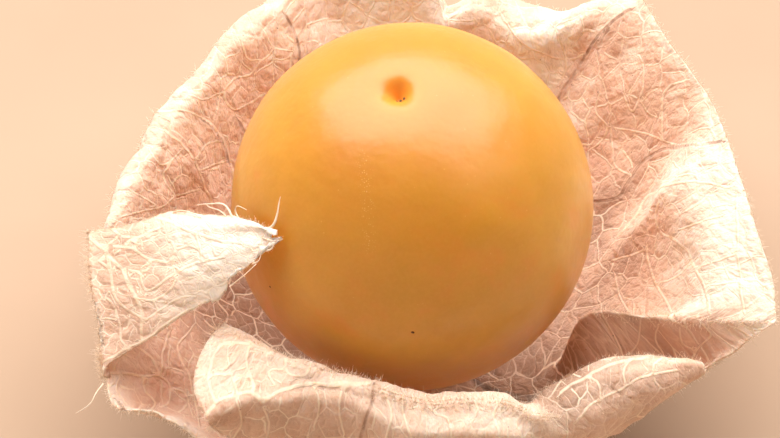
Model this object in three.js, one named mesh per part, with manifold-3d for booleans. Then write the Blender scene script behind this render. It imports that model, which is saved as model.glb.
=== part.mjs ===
// Physalis (cape gooseberry) as picked: a golden berry standing in its dry
// papery husk, which has torn open at the top, with a short length of stalk.
// Millimetres, +Z up. The husk rests on the flat underside of its base.
import * as THREE from 'three';
import * as BufferGeometryUtils from 'three/addons/utils/BufferGeometryUtils.js';
import Module from 'manifold-3d';

// ---- driving dimensions (mm) ----
const BERRY_RADIUS = 9.5;          // across the middle
const BERRY_HALF_HEIGHT = 10.0;    // along the berry's own axis
const BERRY_CENTRE_Z = 12.55;      // height of the berry's middle above the table
const BERRY_TILT_DEG = 4.5;        // the blossom end leans towards -X
const DIMPLE_RADIUS = 1.15;        // funnel at the blossom end
const DIMPLE_DEPTH = 1.1;
const HUSK_THICKNESS = 0.45;       // the papery wall, made thick enough to be solid
const BASE_THICKNESS = 0.60;       // husk base, where the ribs run together
const STALK_RADIUS = 0.55;
const STALK_PATH = [[0.0, 0.35, 0.72], [0.12, 2.0, 0.60], [0.25, 4.6, 0.56], [0.55, 8.0, 0.57],
                    [1.15, 11.2, 0.62], [2.1, 14.0, 0.72], [3.3, 16.4, 0.90]];
const KNOB_RADIUS = 1.0;           // swelling where the stalk meets the husk
const MESH_STEP = 1;               // facets per control interval, upwards

// ---- the husk's sheet, as columns of points from the base outwards ----
// Each column: crease flag (1 = a sharp rib), then x,y,z of its points:
// four in the base, three up the wall, and the rest along the torn margin.
const OPEN_WALL = [
  [0, 1.11,-0.67,1.95, 3.77,-2.27,0.14, 6.77,-4.07,1.01, 9.43,-5.67,3.2, 10.45,-6.06,3.76, 11.28,-6.45,4.36, 11.92,-6.75,4.85, 12.05,-6.81,4.95, 12.18,-6.86,5.05, 12.3,-6.92,5.14],
  [0, 1.18,-0.55,1.95, 3.99,-1.86,0.14, 7.02,-3.27,0.99, 9.83,-4.58,3.2, 11.5,-5.11,3.97, 12.9,-5.62,4.78, 13.97,-5.99,5.45, 14.11,-6.04,5.54, 14.26,-6.09,5.63, 14.38,-6.13,5.71],
  [1, 1.22,-0.46,1.95, 4.12,-1.54,0.14, 7.17,-2.68,0.99, 10.12,-3.78,3.1, 13.1,-4.33,4, 15.06,-5.1,4.9, 15.85,-5.58,6.35, 15.93,-5.63,6.5, 16.01,-5.68,6.65, 16.07,-5.72,6.77],
  [1, 1.26,-0.34,1.95, 4.25,-1.14,0.14, 7.4,-1.98,0.99, 9.44,-1.77,5.8, 12.7,-3.1,7.2, 15.7,-4.45,8.5, 18.51,-5.69,9.95, 18.66,-5.75,10.02, 18.8,-5.82,10.1, 18.92,-5.87,10.16],
  [0, 1.29,-0.14,1.95, 4.38,-0.46,0.14, 7.84,-0.82,1.01, 10.92,-1.15,3.2, 13.75,-2.36,5.67, 16.53,-3.29,8.28, 18.47,-4.07,10.45, 18.59,-4.12,10.58, 18.7,-4.16,10.7, 18.8,-4.2,10.81],
  [0, 1.3,0.07,1.95, 4.39,0.23,0.14, 7.93,0.42,1.01, 11.02,0.58,3.2, 13.93,-0.29,5.84, 16.29,-0.83,8.62, 17.98,-1.33,10.95, 18.08,-1.36,11.09, 18.18,-1.39,11.23, 18.27,-1.42,11.35],
  [0, 1.28,0.25,1.95, 4.32,0.84,0.14, 7.6,1.48,0.99, 10.65,2.07,3.2, 13.51,1.92,5.97, 15.64,1.9,8.91, 17.24,1.82,11.35, 17.34,1.81,11.5, 17.44,1.81,11.64, 17.52,1.8,11.77],
  [1, 1.24,0.4,1.95, 4.18,1.36,0.14, 7.27,2.36,0.98, 10.21,3.32,3.2, 12.51,3.75,6.07, 14.78,4.28,9.11, 16.64,4.69,11.65, 16.75,4.71,11.79, 16.85,4.73,11.93, 16.94,4.75,12.05],
  [0, 1.17,0.57,1.95, 3.95,1.93,0.14, 6.99,3.41,1, 9.77,4.77,3.2, 12.42,5.77,6.14, 14.4,6.55,9.26, 15.9,7.12,11.85, 16.02,7.16,12.02, 16.14,7.21,12.18, 16.25,7.25,12.33],
  [0, 1.08,0.73,1.95, 3.65,2.46,0.14, 6.59,4.45,1.02, 9.16,6.18,3.2, 11.76,7.52,6.21, 13.55,8.48,9.39, 14.97,9.21,12.05, 15.09,9.27,12.22, 15.2,9.33,12.39, 15.29,9.38,12.53],
  [0, 0.97,0.86,1.95, 3.3,2.92,0.14, 5.91,5.23,1.01, 8.23,7.28,3.2, 10.54,9.17,6.31, 12.28,10.61,9.61, 13.61,11.69,12.35, 13.71,11.77,12.52, 13.8,11.85,12.68, 13.89,11.92,12.82],
  [1, 0.85,0.98,1.95, 2.89,3.32,0.14, 5.05,5.81,0.99, 7.08,8.15,3.2, 8.85,10.33,6.45, 10.65,12.5,9.89, 12.17,14.34,12.75, 12.31,14.51,12.91, 12.46,14.69,13.07, 12.58,14.84,13.21],
  [0, 0.74,1.07,1.95, 2.49,3.63,0.14, 4.33,6.3,0.98, 6.09,8.86,3.2, 7.9,11.27,6.21, 9.37,13.27,9.39, 10.45,14.71,12.05, 10.88,15.32,12.27, 11.57,16.29,11.54, 11.86,16.7,11.03],
  [0, 0.64,1.13,1.95, 2.17,3.83,0.15, 3.81,6.73,1, 5.33,9.43,3.2, 6.97,11.64,6.04, 8.16,13.32,9.05, 9.08,14.58,11.55, 9.6,15.41,11.81, 10.41,16.71,10.9, 10.75,17.25,10.34],
  [0, 0.54,1.18,1.95, 1.82,4,0.65, 3.26,7.16,1.32, 4.55,9.98,3.3, 5.93,11.72,6, 6.85,13,8.86, 7.58,13.95,11.25, 8.08,14.87,11.5, 8.84,16.27,10.49, 9.15,16.85,9.82],
  [0, 0.42,1.23,1.95, 1.43,4.16,1.56, 2.59,7.52,1.9, 3.6,10.46,3.47, 4.48,12.04,6.15, 5.09,13.25,8.99, 5.59,14.23,11.35, 5.97,15.21,11.6, 6.56,16.7,10.53, 6.8,17.3,9.81],
  [0, 0.29,1.27,1.95, 0.99,4.29,1.99, 1.78,7.7,2.16, 2.48,10.72,3.55, 3.12,12.41,6.37, 3.62,13.94,9.36, 4.05,15.21,11.85, 4.29,16.1,12.03, 4.64,17.43,11.08, 4.78,17.94,10.31],
  [1, 0.16,1.29,1.95, 0.54,4.37,1.99, 0.94,7.69,2.14, 1.32,10.76,3.55, 1.5,11.75,6.44, 1.68,12.92,9.5, 1.91,14.48,12.05, 1.97,14.97,12.09, 2.06,15.65,11.44, 2.09,15.86,10.67],
  [0, 0.03,1.3,1.95, 0.12,4.4,1.99, 0.2,7.64,2.13, 0.28,10.74,3.55, 0.59,13.38,6.61, 0.79,15.46,9.85, 0.95,16.84,12.55, 0.99,17.47,12.52, 1.03,18.25,11.6, 1.04,18.41,10.37],
  [0, -0.14,1.29,1.95, -0.46,4.38,1.99, -0.81,7.68,2.14, -1.13,10.76,3.55, -1.31,13.83,6.64, -1.46,16.08,9.92, -1.55,17.68,12.65, -1.6,18.23,12.55, -1.65,18.82,11.31, -1.65,18.87,9.45],
  [0, -0.31,1.26,1.95, -1.06,4.27,1.99, -1.92,7.69,2.16, -2.67,10.7,3.55, -3.33,13.85,6.61, -3.84,16.26,9.85, -4.22,18.09,12.55, -4.35,18.63,12.45, -4.49,19.21,11.12, -4.5,19.26,9.15],
  [1, -0.47,1.21,1.95, -1.58,4.11,1.24, -2.84,7.41,1.7, -3.96,10.31,3.41, -4.89,12.84,6.48, -5.81,15.32,9.74, -6.55,17.33,12.45, -6.75,17.84,12.35, -6.96,18.41,11.19, -6.98,18.45,9.45],
  [0, -0.61,1.15,1.95, -2.07,3.88,0.22, -3.65,6.86,1.05, -5.1,9.6,3.22, -6.41,12.01,6.32, -7.47,13.99,9.61, -8.24,15.42,12.35, -8.5,15.9,12.25, -8.78,16.43,11.26, -8.8,16.47,9.75],
  [0, -0.78,1.04,1.95, -2.65,3.51,0.14, -4.6,6.1,0.98, -6.46,8.58,3.2, -7.99,10.74,6.28, -9.09,12.29,9.54, -9.85,13.37,12.25, -10.17,13.81,12.15, -10.53,14.3,11.07, -10.56,14.34,9.45],
  [0, -0.94,0.89,1.95, -3.19,3.03,0.14, -5.69,5.4,1, -7.94,7.53,3.2, -9.59,9.12,6.24, -10.74,10.22,9.46, -11.53,10.98,12.15, -11.93,11.36,12.05, -12.36,11.77,10.89, -12.4,11.81,9.15],
  [0, -1.06,0.75,1.95, -3.6,2.52,0.14, -6.52,4.56,1.02, -9.06,6.34,3.2, -10.69,7.56,6.21, -11.93,8.47,9.39, -12.94,9.21,12.05, -13.39,9.53,11.95, -13.88,9.88,10.87, -13.92,9.91,9.25],
  [1, -1.15,0.6,1.95, -3.9,2.03,0.14, -6.93,3.61,1, -9.68,5.04,3.2, -11.26,5.94,6.18, -12.92,6.85,9.32, -14.29,7.61,11.95, -14.76,7.86,11.85, -15.27,8.13,10.94, -15.31,8.15,9.55],
  [0, -1.22,0.46,1.95, -4.12,1.54,0.14, -7.17,2.68,0.99, -10.07,3.77,3.2, -12.2,4.63,6.14, -13.75,5.26,9.26, -14.92,5.73,11.85, -15.37,5.91,11.76, -15.86,6.1,10.93, -15.91,6.11,9.65],
  [0, -1.26,0.3,1.95, -4.28,1.03,0.14, -7.47,1.79,0.99, -10.49,2.52,3.2, -12.73,3.11,6.11, -14.3,3.52,9.19, -15.37,3.81,11.75, -15.76,3.91,11.68, -16.18,4.01,10.99, -16.21,4.02,9.95],
  [0, -1.29,0.14,1.95, -4.38,0.46,0.14, -7.84,0.82,1.01, -10.92,1.15,3.2, -13.16,1.36,6.07, -14.8,1.51,9.11, -16.02,1.63,11.65, -16.31,1.65,11.6, -16.62,1.69,11.1, -16.64,1.69,10.35],
  [1, -1.3,-0.03,1.95, -4.4,-0.12,0.14, -7.95,-0.21,1.02, -11.05,-0.29,3.2, -13.32,-0.36,6.04, -15.25,-0.42,9.05, -16.72,-0.46,11.55, -16.88,-0.46,11.73, -17.05,-0.47,11.91, -17.19,-0.47,12.07],
  [0, -1.29,-0.18,1.95, -4.36,-0.61,0.14, -7.75,-1.09,1, -10.82,-1.52,3.2, -13.47,-1.91,5.94, -15.46,-2.2,8.84, -16.95,-2.42,11.25, -17.04,-2.43,11.4, -17.14,-2.44,11.55, -17.22,-2.45,11.67],
  [0, -1.26,-0.33,1.95, -4.26,-1.1,0.14, -7.42,-1.92,0.99, -10.43,-2.7,3.2, -13.22,-3.36,5.77, -15.25,-3.85,8.48, -16.68,-4.18,10.75, -16.78,-4.21,10.9, -16.87,-4.23,11.04, -16.95,-4.25,11.17],
  [0, -1.22,-0.46,1.95, -4.12,-1.54,0.14, -7.17,-2.68,0.99, -10.07,-3.77,3.2, -12.78,-4.83,5.5, -14.82,-5.62,7.93, -16.36,-6.23,9.95, -16.47,-6.27,10.09, -16.57,-6.31,10.22, -16.66,-6.34,10.34],
  [1, -1.16,-0.58,1.95, -3.94,-1.96,0.14, -6.97,-3.47,1, -9.74,-4.86,3.2, -12.25,-6.26,5.09, -14.39,-7.43,7.08, -16.02,-8.33,8.75, -16.13,-8.39,8.87, -16.25,-8.46,8.98, -16.34,-8.51,9.08],
  [0, -1.11,-0.68,1.95, -3.75,-2.3,0.14, -6.75,-4.13,1.01, -9.39,-5.75,3.2, -11.74,-7.39,4.82, -13.67,-8.71,6.53, -15.06,-9.68,7.95, -15.14,-9.73,8.03, -15.22,-9.79,8.11, -15.28,-9.83,8.18],
  [0, -1.04,-0.78,1.95, -3.51,-2.65,0.14, -6.36,-4.79,1.02, -8.83,-6.65,3.2, -10.8,-7.94,4.68, -12.38,-9.01,6.25, -13.52,-9.76,7.55, -13.6,-9.81,7.63, -13.67,-9.86,7.72, -13.73,-9.9,7.79],
  [0, -0.97,-0.87,1.95, -3.27,-2.94,0.14, -5.86,-5.27,1.01, -8.16,-7.35,3.2, -9.69,-8.58,4.58, -10.97,-9.64,6.04, -11.95,-10.45,7.25, -12.02,-10.51,7.33, -12.09,-10.56,7.42, -12.15,-10.61,7.49],
  [0, -0.88,-0.96,1.95, -2.97,-3.24,0.14, -5.22,-5.7,0.99, -7.32,-7.99,3.2, -8.62,-9.18,4.48, -9.75,-10.29,5.83, -10.69,-11.2,6.95, -10.76,-11.26,7.03, -10.83,-11.33,7.11, -10.88,-11.38,7.18],
  [0, -0.76,-1.05,1.95, -2.59,-3.56,0.14, -4.49,-6.18,0.98, -6.31,-8.69,3.2, -7.3,-9.29,4.37, -8.11,-10,5.62, -9.05,-10.9,6.65, -9.12,-10.97,6.73, -9.19,-11.04,6.8, -9.25,-11.09,6.87],
];
const FRONT_WALL = [
  [0, -0.98,-0.85,1.95, -3.32,-2.89,0.14, -5.96,-5.18,1.01, -8.19,-7.12,3.3, -9.47,-9.08,5.12, -10.35,-10.32,7.04, -10.64,-10.95,8.65, -11.19,-10.12,9.85, -11.02,-9.24,11.05, -10.35,-8.25,11.95, -9.58,-7.72,12.35],
  [0, -0.88,-0.96,1.95, -2.97,-3.24,0.14, -5.22,-5.7,0.99, -7.22,-7.88,3.3, -8.79,-9.62,5.19, -9.55,-10.47,7.19, -9.46,-10.38,8.85, -9.8,-9.89,10.05, -9.57,-9.14,11.25, -9.05,-8.49,12.25, -8.54,-8.11,12.35],
  [0, -0.76,-1.05,1.95, -2.59,-3.56,0.14, -4.49,-6.18,0.98, -6.22,-8.57,3.3, -7.89,-10.01,5.29, -8.57,-10.51,7.39, -8.33,-9.96,9.15, -8.36,-9.57,10.15, -8.18,-9.22,11.35, -7.86,-9.02,12.25, -7.41,-8.79,12.05],
  [0, -0.63,-1.14,1.95, -2.13,-3.85,0.14, -3.75,-6.77,0.99, -5.19,-9.35,3.3, -6.6,-10.64,5.32, -6.99,-10.78,7.46, -6.83,-10.17,9.25, -6.86,-9.91,10.25, -6.69,-9.74,11.35, -6.41,-9.61,12.25, -6.07,-9.43,11.95],
  [0, -0.5,-1.2,1.95, -1.68,-4.07,0.14, -3.03,-7.31,1.01, -4.16,-10.04,3.3, -5.28,-11.1,5.49, -5.43,-10.81,7.81, -5.17,-9.91,9.75, -5.21,-9.95,10.55, -5.14,-10.15,11.45, -5.03,-10.23,12.05, -4.77,-9.7,11.9],
  [0, -0.36,-1.25,1.95, -1.21,-4.23,0.14, -2.19,-7.64,1.02, -3,-10.48,3.3, -3.68,-11.78,5.7, -3.69,-11.4,8.23, -3.47,-10.45,10.35, -3.51,-10.53,10.95, -3.5,-10.71,11.75, -3.32,-10.14,11.65, -3.21,-9.81,10.75],
  [1, -0.23,-1.28,1.95, -0.76,-4.33,0.14, -1.36,-7.71,1, -1.87,-10.61,3.3, -2.19,-11.95,5.8, -2.2,-11.79,8.45, -2.13,-11.27,10.65, -2.13,-11.16,11.25, -2.07,-11.22,11.65, -1.94,-10.48,11.5, -1.86,-10.04,10.15],
  [0, -0.07,-1.3,1.95, -0.23,-4.39,0.14, -0.4,-7.65,0.99, -0.56,-10.6,3.3, -0.71,-12.82,5.77, -0.73,-12.85,8.38, -0.7,-12.16,10.55, -0.7,-11.87,11.25, -0.65,-11.75,11.75, -0.61,-11,11.6, -0.58,-10.55,10.25],
  [0, 0.09,-1.3,1.95, 0.31,-4.39,0.14, 0.54,-7.66,0.99, 0.74,-10.6,3.3, 0.85,-13.03,5.77, 0.83,-13.05,8.38, 0.78,-12.42,10.55, 0.77,-12.14,11.35, 0.77,-12.02,11.85, 0.72,-11.27,11.7, 0.69,-10.82,10.35],
  [0, 0.24,-1.28,1.95, 0.8,-4.33,0.14, 1.43,-7.71,1, 1.97,-10.61,3.3, 2.22,-12.84,5.77, 2.14,-12.8,8.38, 2,-12.23,10.55, 1.99,-11.94,11.25, 1.99,-11.81,11.75, 1.86,-11.07,11.6, 1.79,-10.63,10.25],
  [0, 0.37,-1.25,1.95, 1.25,-4.22,0.14, 2.26,-7.63,1.02, 3.1,-10.46,3.3, 3.67,-12.85,5.73, 3.6,-12.82,8.3, 3.43,-12.34,10.45, 3.36,-12.06,11.25, 3.31,-11.86,11.65, 3.11,-11.14,11.5, 2.99,-10.71,10.15],
  [0, 0.49,-1.21,1.95, 1.65,-4.08,0.14, 2.97,-7.35,1.01, 4.07,-10.08,3.3, 4.91,-12.48,5.66, 4.97,-12.77,8.16, 4.85,-12.57,10.25, 4.79,-12.36,11.05, 4.73,-12.09,11.45, 4.46,-11.39,11.3, 4.29,-10.97,9.95],
  [0, 0.6,-1.15,1.95, 2.03,-3.9,0.14, 3.6,-6.91,1, 4.96,-9.52,3.3, 6.16,-11.86,5.49, 6.49,-12.5,7.81, 6.59,-12.7,9.75, 6.47,-12.68,10.55, 6.36,-12.49,11.05, 5.99,-11.77,10.95, 5.68,-11.15,10.15],
  [1, 0.71,-1.09,1.95, 2.4,-3.69,0.14, 4.17,-6.43,0.99, 5.78,-8.9,3.3, 7.11,-11.04,5.29, 7.67,-11.95,7.39, 8.05,-12.56,9.15, 7.78,-12.43,9.65, 7.41,-12.25,10.25, 7.02,-11.49,10.35, 6.63,-10.63,10.25],
  [0, 0.81,-1.02,1.95, 2.74,-3.44,0.14, 4.77,-5.99,0.99, 6.6,-8.3,3.3, 8.36,-10.41,5.22, 9.13,-11.31,7.26, 9.42,-11.63,8.95, 9.19,-11.66,9.65, 8.82,-11.28,10.25, 8.47,-10.54,10.55, 8.19,-9.68,10.45],
  [0, 0.9,-0.94,1.95, 3.06,-3.17,0.14, 5.4,-5.59,1, 7.45,-7.71,3.3, 9.59,-9.64,5.15, 10.5,-10.43,7.12, 10.8,-10.63,8.75, 10.62,-10.66,9.45, 10.3,-10.28,10.05, 10,-9.61,10.45, 9.72,-8.68,10.35],
  [0, 0.99,-0.84,1.95, 3.35,-2.86,0.14, 6.02,-5.14,1.01, 8.26,-7.06,3.3, 10.7,-8.64,5.05, 11.89,-9.39,6.91, 12.31,-9.55,8.45, 12.18,-9.56,9.05, 11.9,-9.31,9.65, 11.6,-8.76,9.95, 11.32,-8.09,9.95],
  [0, 1.06,-0.75,1.95, 3.58,-2.56,0.14, 6.48,-4.62,1.02, 8.88,-6.34,3.3, 11.51,-7.56,4.95, 12.95,-8.22,6.7, 13.68,-8.45,8.15, 13.55,-8.45,8.65, 13.33,-8.24,9.05, 13.06,-7.95,9.35, 12.82,-7.55,9.35],
  [0, 1.11,-0.67,1.95, 3.77,-2.27,0.14, 6.77,-4.07,1.01, 9.3,-5.59,3.3, 11.9,-6.6,4.88, 13.59,-7.28,6.56, 14.62,-7.63,7.95, 14.55,-7.67,8.25, 14.42,-7.64,8.55, 14.26,-7.53,8.75, 14.12,-7.33,8.75],
  [0, 1.15,-0.6,1.95, 3.9,-2.03,0.14, 6.93,-3.61,1, 9.55,-4.97,3.3, 12.03,-5.83,4.81, 13.94,-6.56,6.42, 15.24,-7,7.75, 15.2,-7.05,7.85, 15.17,-7.09,7.95, 15.11,-7.11,8.05, 15.01,-7.06,8.05],
];
const LEFT_FLAP = [
  [0, -17.12,-0.9,11.5, -17.04,-1.63,11.38, -16.84,-3.12,11.05, -16.56,-5,10.43, -16.27,-6.82,9.61, -16.02,-8.33,8.75],
  [0, -16.64,-1,11.84, -16.54,-1.89,11.56, -16.36,-3.57,10.99, -16.16,-5.34,10.31, -15.99,-6.84,9.66, -15.86,-8.04,9.1],
  [0, -15.52,-1.47,12.5, -15.44,-2.39,12.35, -15.3,-4.01,11.88, -15.16,-5.64,11.25, -15.05,-6.93,10.53, -14.97,-7.92,9.86],
  [0, -13.98,-1.83,13.58, -13.87,-2.89,13.7, -13.72,-4.33,13.24, -13.56,-5.84,12.7, -13.45,-6.93,11.95, -13.36,-7.73,11.21],
  [0, -12.62,-2.56,14.31, -12.46,-3.55,14.57, -12.22,-4.77,14.31, -11.97,-6.04,13.97, -11.78,-6.89,13.35, -11.63,-7.48,12.71],
  [0, -10.92,-3.62,15.14, -10.77,-4.44,15.45, -10.55,-5.34,15.28, -10.3,-6.3,15.07, -10.11,-6.9,14.61, -9.96,-7.3,14.12],
  [0, -8.84,-4.51,16.39, -8.79,-5.08,16.62, -8.72,-5.56,16.36, -8.65,-6.16,16.17, -8.59,-6.55,15.83, -8.55,-6.81,15.48],
  [0, -7.57,-5.19,17.1, -7.56,-5.57,17.27, -7.59,-5.72,16.93, -7.61,-6.06,16.77, -7.63,-6.3,16.57, -7.64,-6.47,16.36],
  [0, -7.04,-5.29,17.47, -7.03,-5.58,17.62, -7.04,-5.59,17.25, -7.04,-5.84,17.14, -7.04,-6.06,17.04, -7.04,-6.25,16.96],
];

const wasm = await Module();
wasm.setup();

function column(row) {
  const pts = [];
  for (let i = 1; i < row.length; i += 3) pts.push([row[i], row[i + 1], row[i + 2]]);
  return pts;
}

// Smooth line through the points, kept from overshooting; creased points stay sharp.
function smooth(points, parts, closed, creases) {
  const n = points.length;
  const P = closed ? [points[n - 1], ...points, points[0], points[1]] : points;
  const C = closed ? [0, ...creases, creases[0], 0] : creases;
  const m = P.length;
  const h = [], d = [];
  for (let i = 0; i < m - 1; i++) {
    const l = Math.hypot(P[i + 1][0] - P[i][0], P[i + 1][1] - P[i][1], P[i + 1][2] - P[i][2]) || 1e-6;
    h.push(l);
    d.push([0, 1, 2].map((k) => (P[i + 1][k] - P[i][k]) / l));
  }
  const slope = (i, side) => {
    if (i === 0) return d[0];
    if (i === m - 1) return d[m - 2];
    if (C[i]) return side < 0 ? d[i - 1] : d[i];
    return [0, 1, 2].map((k) => {
      const a = d[i - 1][k], b = d[i][k];
      const c = (a * h[i] + b * h[i - 1]) / (h[i] + h[i - 1]);
      const lim = (a * b > 0 ? 2.2 : 0.8) * Math.min(Math.abs(a), Math.abs(b));
      return Math.sign(c) * Math.min(Math.abs(c), lim);
    });
  };
  const first = closed ? 1 : 0, last = closed ? m - 2 : m - 1;
  const out = [];
  for (let i = first; i < last; i++) {
    const a = slope(i, 1), b = slope(i + 1, -1);
    for (let s = 0; s < parts; s++) {
      const t = s / parts, t2 = t * t, t3 = t2 * t;
      out.push([0, 1, 2].map((k) => (2 * t3 - 3 * t2 + 1) * P[i][k] + (t3 - 2 * t2 + t) * h[i] * a[k]
        + (3 * t2 - 2 * t3) * P[i + 1][k] + (t3 - t2) * h[i] * b[k]));
    }
  }
  if (!closed) out.push([...P[m - 1]]);
  return out;
}

function surface(columns, creases, across, up, closed) {
  const rows = columns[0].length;
  const lines = [];
  for (let r = 0; r < rows; r++) lines.push(smooth(columns.map((c) => c[r]), across, closed, creases));
  const fine = [];
  for (let c = 0; c < lines[0].length; c++) {
    fine.push(smooth(lines.map((l) => l[c]), up, false, lines.map(() => 0)));
  }
  return fine;
}

const sub = (a, b) => [a[0] - b[0], a[1] - b[1], a[2] - b[2]];
const cross = (a, b) => [a[1] * b[2] - a[2] * b[1], a[2] * b[0] - a[0] * b[2], a[0] * b[1] - a[1] * b[0]];

// A grid of points thickened both ways into one closed sheet.
function thicken(grid, thickness, closed) {
  const nc = grid.length, nr = grid[0].length;
  const normal = grid.map((col, c) => col.map((p, r) => {
    const cl = closed ? grid[(c + nc - 1) % nc][r] : grid[Math.max(0, c - 1)][r];
    const cr = closed ? grid[(c + 1) % nc][r] : grid[Math.min(nc - 1, c + 1)][r];
    const du = sub(cr, cl), dv = sub(col[Math.min(nr - 1, r + 1)], col[Math.max(0, r - 1)]);
    const n = cross(du, dv), l = Math.hypot(...n) || 1;
    return n.map((v) => v / l);
  }));
  const pos = [], idx = [];
  const half = thickness / 2;
  for (const s of [1, -1]) {
    for (let c = 0; c < nc; c++) for (let r = 0; r < nr; r++) {
      for (let k = 0; k < 3; k++) pos.push(grid[c][r][k] + s * half * normal[c][r][k]);
    }
  }
  const at = (side, c, r) => side * nc * nr + (c % nc) * nr + r;
  const quad = (a, b, c, d) => idx.push(a, b, c, a, c, d);
  const spans = closed ? nc : nc - 1;
  for (let c = 0; c < spans; c++) for (let r = 0; r < nr - 1; r++) {
    quad(at(0, c, r), at(0, c + 1, r), at(0, c + 1, r + 1), at(0, c, r + 1));
    quad(at(1, c, r), at(1, c, r + 1), at(1, c + 1, r + 1), at(1, c + 1, r));
  }
  for (let c = 0; c < spans; c++) {
    quad(at(0, c, 0), at(1, c, 0), at(1, c + 1, 0), at(0, c + 1, 0));
    quad(at(0, c, nr - 1), at(0, c + 1, nr - 1), at(1, c + 1, nr - 1), at(1, c, nr - 1));
  }
  if (!closed) for (let r = 0; r < nr - 1; r++) {
    quad(at(0, 0, r), at(0, 0, r + 1), at(1, 0, r + 1), at(1, 0, r));
    quad(at(0, nc - 1, r), at(1, nc - 1, r), at(1, nc - 1, r + 1), at(0, nc - 1, r + 1));
  }
  const g = new THREE.BufferGeometry();
  g.setAttribute('position', new THREE.Float32BufferAttribute(pos, 3));
  g.setIndex(idx);
  return g;
}

function solid(geometry) {
  let g = geometry.clone();
  g.deleteAttribute('normal');
  g.deleteAttribute('uv');
  g = BufferGeometryUtils.mergeVertices(g, 1e-5);
  let m = new wasm.Manifold(new wasm.Mesh({
    numProp: 3,
    vertProperties: new Float32Array(g.attributes.position.array),
    triVerts: new Uint32Array(g.index.array),
  }));
  if (m.volume() < 0) {
    const t = new Uint32Array(g.index.array);
    for (let i = 0; i < t.length; i += 3) [t[i + 1], t[i + 2]] = [t[i + 2], t[i + 1]];
    m = new wasm.Manifold(new wasm.Mesh({
      numProp: 3, vertProperties: new Float32Array(g.attributes.position.array), triVerts: t,
    }));
  }
  return m;
}

function geometryOf(manifold) {
  const mesh = manifold.getMesh();
  const pos = new Float32Array(mesh.numVert * 3);
  for (let i = 0; i < mesh.numVert; i++) for (let k = 0; k < 3; k++) pos[3 * i + k] = mesh.vertProperties[i * mesh.numProp + k];
  const g = new THREE.BufferGeometry();
  g.setAttribute('position', new THREE.BufferAttribute(pos, 3));
  g.setIndex(Array.from(mesh.triVerts));
  g.computeVertexNormals();
  return g;
}

// ---- husk ----
const openCols = OPEN_WALL.map(column), openCrease = OPEN_WALL.map((r) => r[0]);
const frontCols = FRONT_WALL.map(column), frontCrease = FRONT_WALL.map((r) => r[0]);
const flapCols = LEFT_FLAP.map(column), flapCrease = LEFT_FLAP.map((r) => r[0]);

// The wall sheets start a little way down inside the base, so all run together.
const startInBase = (cols) => cols.map((c) => {
  const a = c[2], b = c[3];
  const p = [0, 1, 2].map((k) => a[k] + (b[k] - a[k]) * 0.72);
  return [p, ...c.slice(3)];
});

const baseColumns = [...openCols.slice(0, -1), ...frontCols.slice(2, -1)];
const baseCrease = [...openCrease.slice(0, -1), ...frontCrease.slice(2, -1)];
const base = thicken(surface(baseColumns.map((c) => c.slice(0, 4)), baseCrease, 1, 1, true), BASE_THICKNESS, true);
const openWall = thicken(surface(startInBase(openCols), openCrease, 1, MESH_STEP, false), HUSK_THICKNESS, false);
const frontWall = thicken(surface(startInBase(frontCols), frontCrease, 1, MESH_STEP, false), HUSK_THICKNESS, false);
const leftFlap = thicken(surface(flapCols, flapCrease, 1, 1, false), HUSK_THICKNESS, false);

// The base is a ring round its sunken centre; a small disc closes the centre.
const hub = new THREE.CylinderGeometry(1.9, 1.9, 0.5, 20);
hub.rotateX(Math.PI / 2);
hub.translate(0, 0, 1.95);

const below = new THREE.BoxGeometry(60, 60, 4);
below.translate(0, 0, -2);

const husk = solid(base).add(solid(hub)).add(solid(openWall)).add(solid(frontWall)).add(solid(leftFlap)).subtract(solid(below));

// ---- berry ----
const profile = [];
const STEPS = 26;
for (let i = 0; i <= STEPS; i++) {
  const a = -Math.PI / 2 + (Math.PI * i) / STEPS;
  let r = BERRY_RADIUS * Math.cos(a), z = BERRY_HALF_HEIGHT * Math.sin(a);
  if (i === 0 || i === STEPS) r = 0;
  if (i > STEPS - 4) continue;
  profile.push(new THREE.Vector2(r, z));
}
for (const r of [3.2, 2.2, 1.6, DIMPLE_RADIUS, 0.8, 0.5, 0.25, 0]) {
  const z = BERRY_HALF_HEIGHT * Math.sqrt(1 - (r / BERRY_RADIUS) ** 2);
  profile.push(new THREE.Vector2(r, z - DIMPLE_DEPTH * Math.exp(-((r / (DIMPLE_RADIUS * 0.62)) ** 2))));
}
const berryGeometry = new THREE.LatheGeometry(profile, 44);
berryGeometry.rotateX(Math.PI / 2);
const berry = geometryOf(solid(berryGeometry));

// ---- stalk ----
const path = new THREE.CatmullRomCurve3(STALK_PATH.map((p) => new THREE.Vector3(...p)));
const ring = [];
for (let i = 0; i < 10; i++) ring.push(new THREE.Vector2(STALK_RADIUS * Math.cos((i / 10) * 2 * Math.PI), STALK_RADIUS * Math.sin((i / 10) * 2 * Math.PI)));
const stalkTube = new THREE.ExtrudeGeometry(new THREE.Shape(ring), { steps: 22, extrudePath: path, bevelEnabled: false });
const knob = new THREE.LatheGeometry([[0, 0.12], [0.7, 0.2], [KNOB_RADIUS, 0.62], [0.82, 1.05], [0.45, 1.33], [0, 1.35]].map((p) => new THREE.Vector2(...p)), 16);
knob.rotateX(Math.PI / 2);
const stalkEnd = new THREE.SphereGeometry(0.72, 12, 8);
stalkEnd.scale(1, 0.75, 1);
stalkEnd.translate(3.25, 16.25, 0.88);
const stalk = solid(stalkTube).add(solid(knob)).add(solid(stalkEnd));

// ---- assembly ----
function piece(name, geometry, color, roughness) {
  const mesh = new THREE.Mesh(geometry, new THREE.MeshStandardMaterial({ color, roughness, metalness: 0 }));
  mesh.name = name;
  return mesh;
}

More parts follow.
